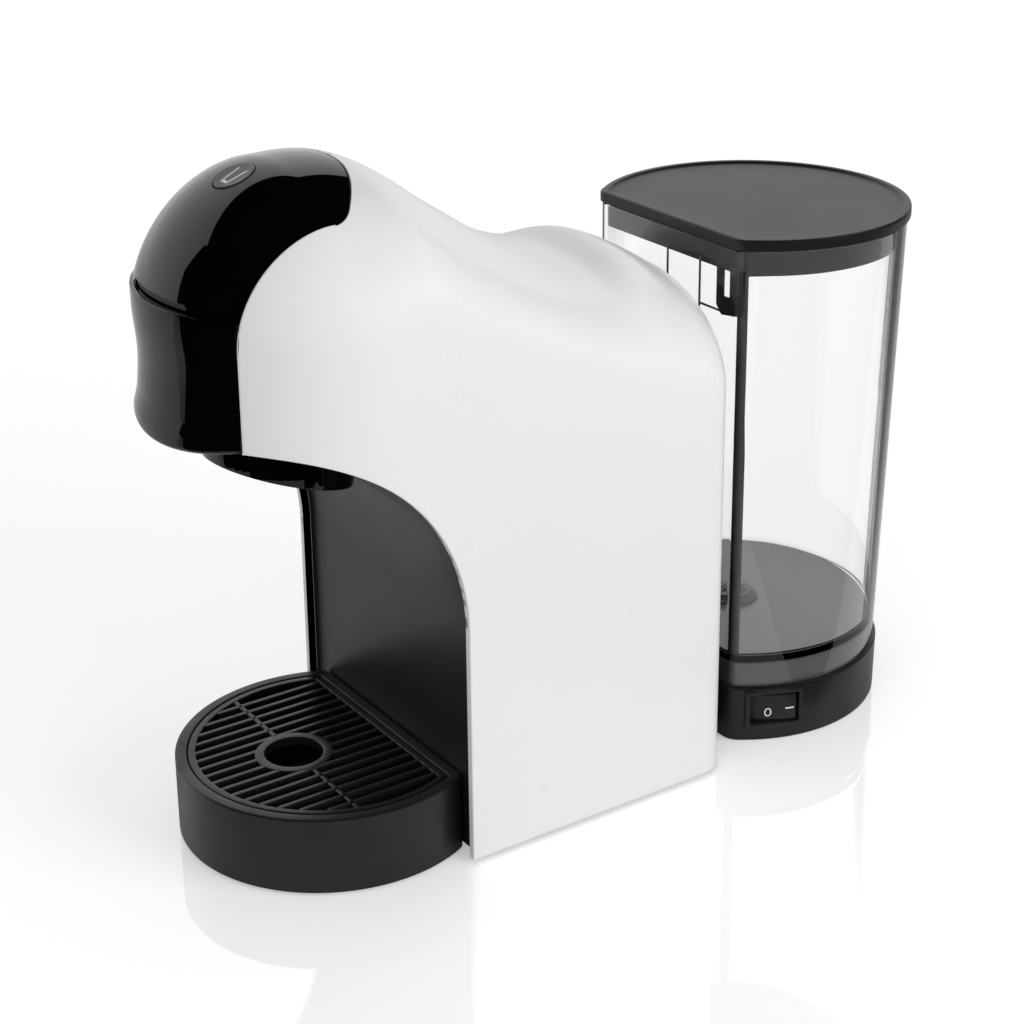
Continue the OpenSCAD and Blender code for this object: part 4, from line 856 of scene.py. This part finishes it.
def to_hole(outline, radius, share, z):
    """The outline drawn in to a circle about the dock's axis by a share from 0 to 1, at height z."""
    c = np.array([0, DOCK_Y])
    flat = outline[:, :2]
    return at((c + unit(flat - c) * radius) * share + flat * (1 - share), z)


def water_tank():
    b = Build()
    t = TANK_WALL
    outer = fillet([(t, TANK_FOOT), (0, TANK_FOOT), (0, TANK_RIM), (t, TANK_RIM)], [0, 0.6, 0.7, 0], 5)
    inner = fillet([(t, TANK_RIM), (t, TANK_FLOOR), (FLOOR_IN, TANK_FLOOR)], [0, 2.0, 0], 8)
    rows = [tank_outline(z, i) for i, z in outer[:-1] + inner]
    for z, shares in ((TANK_FLOOR, (0.35, 0.7, 1.0)), (TANK_UNDER, (1.0, 0.7, 0.35, 0.0))):
        rows += [to_hole(tank_outline(z, FLOOR_IN), VALVE_HOLE_R, share, z) for share in shares]
    under = fillet([(FLOOR_IN, TANK_UNDER), (t, TANK_UNDER), (t, TANK_FOOT)], [0, 1.0, 0], 5)
    rows += [tank_outline(z, i) for i, z in under[1:]]
    b.grid(rows, closed=True)
    b.piece("clear_tank", "tank", ["clear_tank"], ["water_tank"], "clear_tank", angle=38)


water_tank()


RIB_XS, RIB_HW, RIB_LOW, DETAIL_TOP = (-1.8, 16.8), 0.3, 150, 182


def prisms(shapes):
    """Closed shapes of (x, z) points, between two depths just inside the tank's flat wall."""
    b = Build()
    for shape in shapes:
        rows = [np.array([(x, y, z) for x, z in shape]) for y in (55.68, 56.2)]
        b.grid(rows, closed=True)
        b.fan(rows[0])
        b.fan(rows[1])
    return b


def box_shape(x0, x1, z0, z1):
    return [(x0, z0), (x1, z0), (x1, z1), (x0, z1)]


def tank_details():
    """Ribs and dark grip frame behind the flat wall, moulded detail whose dark colour is painted refraction
    shade; a dark sheet of painted shade at the near corner, a grey sheet of painted shade on the floor and a
    dark ring of painted shade in the skirt of the foot."""

    def detail(build, name, finish_name):
        build.piece(name, "tank", [finish_name], weld=0.001)

    # ribs and a cross line, moulded detail, in a dark grey that is painted refraction shade
    shapes = [box_shape(x - RIB_HW, x + RIB_HW, RIB_LOW, DETAIL_TOP) for x in RIB_XS]
    shapes.append(box_shape(16.6, 36.2, 164.6, 165.2))
    shapes = [fillet(q + [q[0]], [0, 0.1, 0.1, 0.1, 0], 3) for q in shapes]
    detail(prisms(shapes), "tank_ribs_painted_shade", "painted_shade_grey")
    # dark grip frame behind the flat wall, whose black is painted refraction shade
    detail(prisms([[(26.5, DETAIL_TOP), (26.5, 167), (29.5, 163.8), (30.4, 163.9), (30.4, DETAIL_TOP)],
                   [(30.4, 163.9), (33.8, 164.4), (33.8, 170.8), (30.4, 170.8)],
                   [(33.8, 164.4), (40.2, 165.5), (40.2, DETAIL_TOP), (33.8, DETAIL_TOP)]]),
           "grip_frame_painted_shade", "black_satin")
    # dark ring in the skirt of the foot: painted shade for the dark dock seen through the clear wall
    b = Build()
    low, top = TANK_FOOT + 0.1, TANK_UNDER - 0.05
    rows = [tank_outline(z, i) for i, z in ((2.25, low), (2.25, top), (2.75, top), (2.75, low))]
    b.grid(rows + [rows[0]], closed=True)
    detail(b, "foot_shade", "painted_shade_grey")
    # grey sheet on the tank's floor: painted shade standing in for the black dock seen through the clear
    # floor
    b = Build()
    low, top = TANK_FLOOR + 0.05, TANK_FLOOR + 0.2
    edge = tank_outline(top, 3.4)
    rows = [at(edge[:, :2], low), edge]
    rows += [to_hole(edge, PAINTED_SHADE_HOLE_R, k, z) for k, z in ((0.33, top), (0.66, top), (1.0, top), (1.0, low))]
    b.grid(rows, closed=True)
    detail(b, "tank_floor_painted_shade", "tank_floor_painted_shade_grey")
    # dark sheet along the tank's near corner: painted shade standing in for the dark edge that refraction
    # makes
    b = Build()
    rows = []
    for z in np.linspace(TANK_FLOOR + 0.3, 181.0, 12):
        line = tank_outline(z, TANK_WALL + 0.1)[:, :2]
        line = line[(line[:, 0] > 37.6) & (line[:, 1] < 57.4)]
        line = line[np.argsort(line[:, 0])]
        rows.append(at(line[np.linspace(0, len(line) - 1, 7).round().astype(int)], z))
    b.grid(rows)
    detail(b, "corner_painted_shade", "black_satin")


tank_details()


# 182.5 in the CAD
SKIRT_END = 180.0


def tank_lid():
    b = Build()
    top, low = 193.9, 189.8
    profile = fillet([(2.9, low), (0, low), (0, top), (2.6, top), (3.3, top - 0.8), (14, top - 0.8)],
                     [0, 0.5, 0.9, 0.5, 0.6, 0], 6)
    rows = [at(d_outline(57.45, LID_Y, TANK_FLAT, i), z) for i, z in profile]
    b.grid(rows, closed=True)
    b.fan(rows[-1])
    skirt = fillet([(2.6, low), (2.9, low - 0.2), (2.9, SKIRT_END), (4.7, SKIRT_END), (4.7, low)],
                   [0, 0, 0.5, 0.5, 0], 4)
    rows = [at(d_outline(56.2, LID_Y, TANK_FLAT + 1, i), z) for i, z in skirt]
    b.grid(rows, closed=True, flip=True)
    b.fan(rows[-1], flip=True)
    b.piece("lid_top", "lid", ["dark_lid"], ["tank_lid"], "dark_lid")


tank_lid()


# ---- dock and switch ----

# the CAD has the switch 0.75 higher, and the dock from 1.5 to 23.8
SWITCH = radians(-23)
SWITCH_R, SWITCH_Z = 54.3, 13.1
DOCK_LOW, DOCK_TOP = 0.3, 22.0
DOCK_FLOOR, NECK_TOP, NECK_HW, NECK_Y0, NECK_Y1 = 20.6, 20.4, 30, 41.2, 60


def tank_dock():
    b = Build()
    half = asin(10.6 / 54.7)
    extra = (SWITCH - half, SWITCH + half)
    z0, z1 = SWITCH_Z - 7.2, SWITCH_Z + 7.2

    def outline(z, inset):
        t = (z - DOCK_LOW) / (DOCK_TOP - DOCK_LOW)
        return at(d_outline(55.5 - 0.4 * (1 - t), DOCK_Y, TANK_FLAT + 0.6, inset, extra=extra), z)

    wall = fillet([(WALL, DOCK_LOW), (0, DOCK_LOW), (0, z0), (0, z1), (0, DOCK_TOP), (3, DOCK_TOP),
                   (12, DOCK_TOP)], [0, 0.5, 0, 0, 0.9, 0, 0], 6)
    rows = [outline(z, i) for i, z in wall]
    count = len(rows[0])
    base = b.grid(rows, closed=True)

    def beside_switch(q):
        mid = np.mean([rows[(i - base) // count][(i - base) % count] for i in q], axis=0)
        dx, dy = mid[0], mid[1] - DOCK_Y
        off = abs(atan2(dy, dx) - SWITCH) >= half
        return off or not z0 < mid[2] < z1 or hypot(dx, dy) <= 50

    b.keep(beside_switch)
    # top of the dock round the water inlet, and the floor below it
    inlet = to_hole(rows[-1], INLET_R, 1.0, DOCK_FLOOR)
    top = [to_hole(rows[-1], INLET_R, s, DOCK_TOP) for s in (0.5, 1.0)]
    b.grid([rows[-1], *top, inlet], closed=True)
    b.grid([inlet, outline(DOCK_FLOOR, WALL), outline(DOCK_LOW, WALL)], closed=True)
    # neck to the body
    neck = np.array([(-NECK_HW, NECK_Y1), (-NECK_HW, NECK_Y0), (NECK_HW, NECK_Y0), (NECK_HW, NECK_Y1)])
    b.grid([at(neck, BASE_Z), at(neck, NECK_TOP)], flip=True)
    b.grid([at(neck[:2][::-1], NECK_TOP), at(neck[2:], NECK_TOP)])
    b.piece("dock_body", "machine", ["black_satin"], ["tank_dock"], "black_satin")


tank_dock()

switch_place = frame_at(
    (SWITCH_R * cos(SWITCH), DOCK_Y + SWITCH_R * sin(SWITCH), SWITCH_Z),
    (cos(SWITCH), sin(SWITCH), 0), (-sin(SWITCH), cos(SWITCH), 0), (0, 0, 1))


def rounded_rect(hy, hz, r, x):
    """Rounded rectangle in the plane of the switch face, at distance x out of it."""
    out = []
    corners = ((hy - r, hz - r), (-hy + r, hz - r), (-hy + r, -hz + r), (hy - r, -hz + r))
    for (cy, cz), a0 in zip(corners, (0, 90, 180, 270)):
        for a in np.radians(np.linspace(a0, a0 + 90, 6)):
            out.append((x, cy + r * cos(a), cz + r * sin(a)))
    return np.array(out)


def power_switch():
    b = Build()
    # half width, half height, corner radius and distance out of the face
    steps = [(11.5, 8.0, 0.6, -1.6), (11.5, 8.0, 0.6, 0.55), (11.38, 7.88, 0.6, 0.85),
             (11.1, 7.6, 0.6, 1.0), (9.7, 6.2, 0.4, 1.0), (9.5, 6.0, 0.4, 0.9), (9.15, 5.65, 0.3, -0.2),
             (9.1, 5.6, 0.3, -5.4)]
    rows = [rounded_rect(*s) for s in steps]
    b.grid(rows, closed=True)
    b.fan(rows[-1])
    body = [rounded_rect(10.3, 6.8, 0.6, x) for x in (-1.6, -14.0)]
    b.grid([rows[0], body[0], body[1]], closed=True, flip=True)
    b.fan(body[1], flip=True)
    b.piece("switch_bezel", "machine", ["black_satin"], ["switch_housing"], "black_satin",
            place=switch_place, angle=30)

    tilt = radians(8)
    turn = Matrix.Translation((-3 * MM, 0, 0)) @ Matrix.Rotation(-tilt, 4, "Z")
    place = switch_place @ turn
    p = Build()
    # profile of the paddle: (out, along)
    front = [(2.1, -8.7), (2.95, -6.2), (3.1, -3.5), (2.9, 0.0), (3.1, 3.5), (2.95, 6.2), (2.1, 8.7)]
    long, high, edge, count = 8.7, 5.3, 0.45, 41
    ys = np.linspace(-long, long, count)
    xs = np.interp(ys, [q[1] for q in front], [q[0] for q in front])
    xs = np.convolve(np.pad(xs, 3, mode="edge"), np.ones(7) / 7, mode="valid")
    closed = []
    for side, first in ((-1, -pi / 2), (1, 0)):
        for a in np.linspace(first, first + pi / 2, 5):
            z = side * (high - edge) + edge * sin(a)
            row = np.column_stack([xs - edge + edge * cos(a),
                                   ys * (long - edge + edge * cos(a)) / long, np.full(count, z)])
            closed.append(np.vstack([row, [(-1.2, 7.7, z), (-1.2, -7.7, z)]]))
    p.grid(closed, closed=True, flip=True)
    p.fan(closed[0])
    p.fan(closed[-1], flip=True)
    p.piece("rocker_paddle", "rocker", ["black_satin"], ["switch_rocker"], "black_satin",
            place=place)

    mark = Build()

    def face(y):
        return float(np.interp(y, ys, xs)) + 0.03

    turn = np.linspace(0, 2 * pi, 33)[:-1]
    loops = [[(face(y), y, z) for y, z in arc(0, 0, 1, turn) * (ry, rz) - (1.9, 2.0)]
             for ry, rz in ((1.35, 1.75), (0.9, 1.3))]
    mark.grid(loops, closed=True, flip=True)
    dash = [np.array([(face(y), y, s * 0.3 - 0.5) for y in np.linspace(4.7, 7.9, 8)]) for s in (-1, 1)]
    mark.grid(dash, flip=True)
    mark.piece("rocker_marks", "rocker", ["print_white"], place=place, weld=0)


power_switch()


# ---- drip tray and its grid ----

TRAY_H, TRAY_LOW, TRAY_RIM = 28.5, 1.0, 4.0


def drip_tray():
    b = Build()
    outer = fillet([(14, TRAY_LOW), (0, TRAY_LOW), (0, TRAY_H), (TRAY_RIM, TRAY_H), (TRAY_RIM, 25.1),
                    (5.2, 25.1), (5.2, 6.4), (20, 6.4)], [0, 0.6, 0.7, 0.5, 0.3, 0.4, 1.5, 0], 5)
    rows = [at(tray_outline(i), z) for i, z in outer]
    b.grid(rows, closed=True)
    b.fan(rows[-1])
    b.fan(rows[0], flip=True)
    b.piece("tray_body", "tray", ["tray_satin"], ["drip_tray"], "charcoal")


drip_tray()


GRID_R, GRID_HOLE_R = 46.2, 12.8


def drip_grid():
    b = Build()
    top, low = 28.4, 25.4
    band = fillet([(7, low), (4.35, low), (4.35, top), (7, top), (7, low)], [0, 0.2, 0.5, 0.45, 0], 4)
    rows = [at(tray_outline(i), z) for i, z in band]
    b.grid(rows, closed=True)
    hub = [(9.9, low), (13.5, low), (13.5, top), (9.9, top), (9.9, low)]
    lathe(b, fillet(hub, [0, 0.2, 0.5, 0.6, 0], 5), (0, BREW_Y))

    def rod(a0, a1, width, across):
        """Bar with a rounded top. across is 0 for a bar along y and 1 for one along x."""
        w = width / 2
        shape = fillet([(-w, low), (-w, top - 0.1), (w, top - 0.1), (w, low)], [0, 0.5, 0.5, 0], 4)
        loops = [[(x, y + s, z) if across else (x + s, y, z) for s, z in shape] for x, y in (a0, a1)]
        b.grid(loops, closed=True, flip=bool(across))
        b.fan(loops[0], flip=not across)
        b.fan(loops[1], flip=bool(across))

    pitch, slot = 2 * (TRAY_R - TRAY_RIM - 1) / 18, 3.0
    back = TRAY_BACK - 6.8
    for i in range(-8, 8):
        x = (i + 0.5) * pitch
        front = HEAD_Y - sqrt(GRID_R**2 - x**2)
        spans = [(front, back)]
        if abs(x) < 12.5:
            reach = sqrt(GRID_HOLE_R**2 - x**2)
            spans = [(front, BREW_Y - reach), (BREW_Y + reach, back)]
        for y0, y1 in spans:
            rod((x, y0), (x, y1), pitch - slot, 0)
    end = sqrt(GRID_R**2 - (BREW_Y - HEAD_Y) ** 2)
    for s in (-1, 1):
        rod((s * GRID_HOLE_R, BREW_Y), (s * end, BREW_Y), 1.8, 1)
    b.piece("tray_grid", "grid", ["grid_black"], ["drip_grid"], "black_satin")


drip_grid()


# ---- nodes that keep their CAD shape ----

KEPT = {
    "charcoal": "inner_front_panel rear_panel brew_frame board_bracket lever_frame drawer_tray pump_cradle",
    "black_satin": "base_plate",
    "black_gloss": "pod_holder",
    "rubber_black": "rubber_feet pump_mounts cord_grommet inlet_seal",
    "steel": "base_screws hinge_pin lever_screws drawer_screws needle valve_spring pump_piston piston_spring",
    "aluminium": "thermoblock thermoblock_bracket",
    "ceramic": "thermostats",
    "pump_brown": "pump_body",
    "grey_plastic": "flow_meter flow_rotor tank_inlet needle_block tank_sump inlet_filter tank_valve",
    "hose_white": "brew_tube suction_hose pressure_hose",
    "pcb_green": "control_board button_board",
    "silicone_red": "needle_seal",
}
SOFTEN = {"rear_panel": 0.4, "pod_holder": 0.5, "base_plate": 0.4, "drawer_tray": 0.3,
          "brew_frame": 0.3, "thermoblock": 0.8, "pump_body": 0.5, "cord_grommet": 0.4, "tank_sump": 0.3}

for material_name, names in KEPT.items():
    for name in names.split():
        ob = nodes[name]
        ob.data.materials.clear()
        ob.data.materials.append(M[material_name])
        weld = ob.modifiers.new("weld", "WELD")
        weld.merge_threshold = 0.003 * MM
        if name in SOFTEN:
            bev = ob.modifiers.new("soft_edges", "BEVEL")
            bev.width = SOFTEN[name] * MM
            bev.segments = 3
            bev.limit_method = "ANGLE"
            bev.angle_limit = radians(40)
            bev.harden_normals = True
            bev.miter_outer = "MITER_ARC"


# ---- studio ----

def is_ray(tree, *kinds):
    """1 for rays of these kinds, and 0 for others."""
    path = tree.nodes.new("ShaderNodeLightPath")
    value = path.outputs[f"Is {kinds[0]} Ray"]
    for kind in kinds[1:]:
        larger = node(tree, "ShaderNodeMath", value, path.outputs[f"Is {kind} Ray"])
        larger.operation = "MAXIMUM"
        value = larger.outputs[0]
    return value


def stage_sheet(name, points, faces, mat):
    me = bpy.data.meshes.new(name)
    me.from_pydata([tuple(p) for p in points], [], faces)
    me.materials.append(mat)
    ob = linked(name, me)
    return ob


def floor():
    mat, t = new_material("floor_acrylic", Base_Color=(0.93, 0.93, 0.93, 1), Roughness=0.03, IOR=1.6,
                          Specular_IOR_Level=1.0)
    strength = node(t, "ShaderNodeMath", is_ray(t, "Camera", "Transmission"))
    strength.operation = "MULTIPLY"
    strength.inputs[1].default_value = 0.35
    glow = node(t, "ShaderNodeEmission")
    t.links.new(strength.outputs[0], glow.inputs["Strength"])
    add = node(t, "ShaderNodeAddShader", t.nodes["Principled BSDF"].outputs[0], glow.outputs[0])
    t.links.new(add.outputs[0], t.nodes["Material Output"].inputs["Surface"])
    r = 7
    stage_sheet("floor", [(-r, -r, 0), (r, -r, 0), (r, r, 0), (-r, r, 0)], [(0, 1, 2, 3)], mat)


BLACK = {"Base_Color": (0, 0, 0, 1), "Specular_IOR_Level": 0.0, "Roughness": 1.0}
CARD_X, CARD_Y, CARD_TOP = 1.6, 1.5, 1.5


def cards():
    """Black cards that only one kind of ray meets."""
    black, _ = new_material("black_card", **BLACK)
    # the card above the floor lets rays from below through, so that the floor does not mirror it
    one_side, t = new_material("black_card_one_side", **BLACK)
    back = node(t, "ShaderNodeNewGeometry").outputs["Backfacing"]
    pick = node(t, "ShaderNodeMixShader", back, t.nodes["Principled BSDF"].outputs[0],
                node(t, "ShaderNodeBsdfTransparent").outputs[0])
    t.links.new(pick.outputs[0], t.nodes["Material Output"].inputs["Surface"])

    def card(name, points, seen_by, mat=black, faces=None):
        ob = stage_sheet(name, points, faces or [tuple(range(len(points)))], mat)
        for ray in ("camera", "diffuse", "glossy", "transmission", "shadow", "volume_scatter"):
            setattr(ob, "visible_" + ray, ray == seen_by)

    # just above the floor, outside the picture, mirrored by the sides of the head
    turn = np.radians(np.linspace(-116, 70, 60))
    ring = [(q * cos(a), -0.1 + q * sin(a), 0.001) for a in turn for q in (0.2, 2.4)]
    card("floor_card", ring, "glossy", one_side,
         [(k, k + 1, k + 3, k + 2) for k in range(0, len(ring) - 2, 2)])
    x, y, z = CARD_X, CARD_Y, CARD_TOP
    card("front_card", [(-0.75, -y, 0), (-1.0, -y, 0.44), (-1.24, -y, 0.89), (-1.3, -y, z), (x, -y, z),
                        (x, -y, 0)], "glossy")
    card("side_card", [(x, -y, 0), (x, y, 0), (x, y, z), (x, -y, z)], "glossy")
    card("rear_card", [(x, y, 0), (-0.4, y, 0), (-0.4, y, z), (x, y, z)], "glossy")
    card("top_card", [(-1.2, -y, z), (x, -y, z), (x, 1.2, z), (-1.2, 1.2, z)], "glossy")

    # behind the tank, right of it: they darken its edge by refraction
    right = np.array(CAMERA_RIGHT)
    edge = np.array([0.0545, 0.095, 0.0])
    away = edge - np.array([*CAMERA_PLACE[:2], 0.0]) * MM
    away /= np.linalg.norm(away)
    near, far = edge + 0.3 * away + 0.055 * right, edge + 0.3 * away + 0.32 * right
    up = np.array([0, 0, 0.3])
    card("tank_card", [near, far, far + up, near + up], "transmission")
    low = np.array([0, 0, 0.001])
    near, far = edge + 0.03 * away + 0.006 * right + low, edge + 0.6 * away + 0.115 * right + low
    card("tank_floor_card", [near, far, far + 0.35 * right, near + 0.03 * right], "transmission")


def world():
    """White where it is seen, mirrored or refracted, and weaker as a light."""
    studio_world = bpy.data.worlds.new("studio")
    bpy.context.scene.world = studio_world
    studio_world.use_nodes = True
    t = studio_world.node_tree
    lit = t.nodes["Background"]
    lit.inputs["Color"].default_value = (1, 1, 1, 1)
    lit.inputs["Strength"].default_value = 0.46
    seen = node(t, "ShaderNodeBackground", Color=(1, 1, 1, 1), Strength=1.0)
    mix = node(t, "ShaderNodeMixShader", is_ray(t, "Camera", "Glossy", "Transmission"), lit.outputs[0],
               seen.outputs[0])
    t.links.new(mix.outputs[0], t.nodes["World Output"].inputs["Surface"])


def lamp(name, place, target, size, power):
    data = bpy.data.lights.new(name, "AREA")
    data.shape = "RECTANGLE"
    data.size, data.size_y = size
    data.energy = power
    ob = linked(name, data)
    ob.location = place
    ob.rotation_euler = (Vector(target) - Vector(place)).to_track_quat("-Z", "Y").to_euler()
    ob.visible_glossy = False
    ob.visible_transmission = False


CAMERA_PLACE = (588.33, -406.75, 400.50)
CAMERA_RIGHT = (0.57871, 0.81553, 0)


def camera():
    data = bpy.data.cameras.new("photo_camera")
    data.sensor_width = 36
    data.sensor_fit = "HORIZONTAL"
    data.lens = 75.86
    data.shift_x = -0.0578
    data.shift_y = -0.1297
    data.clip_end = 100
    ob = linked("photo_camera", data)
    ob.matrix_world = frame_at(CAMERA_PLACE, CAMERA_RIGHT, (-0.27692, 0.19651, 0.94058),
                               (0.76708, -0.54433, 0.33956))
    bpy.context.scene.camera = ob


floor()
cards()
world()
lamp("key", (1.6, 0.8, 0.6), (0, 0, 0.12), (1.4, 0.9), 20)
lamp("fill", (0.9, -1.5, 0.8), (0, 0, 0.1), (1.2, 1.2), 7)
camera()
bpy.context.scene.view_settings.view_transform = "Standard"
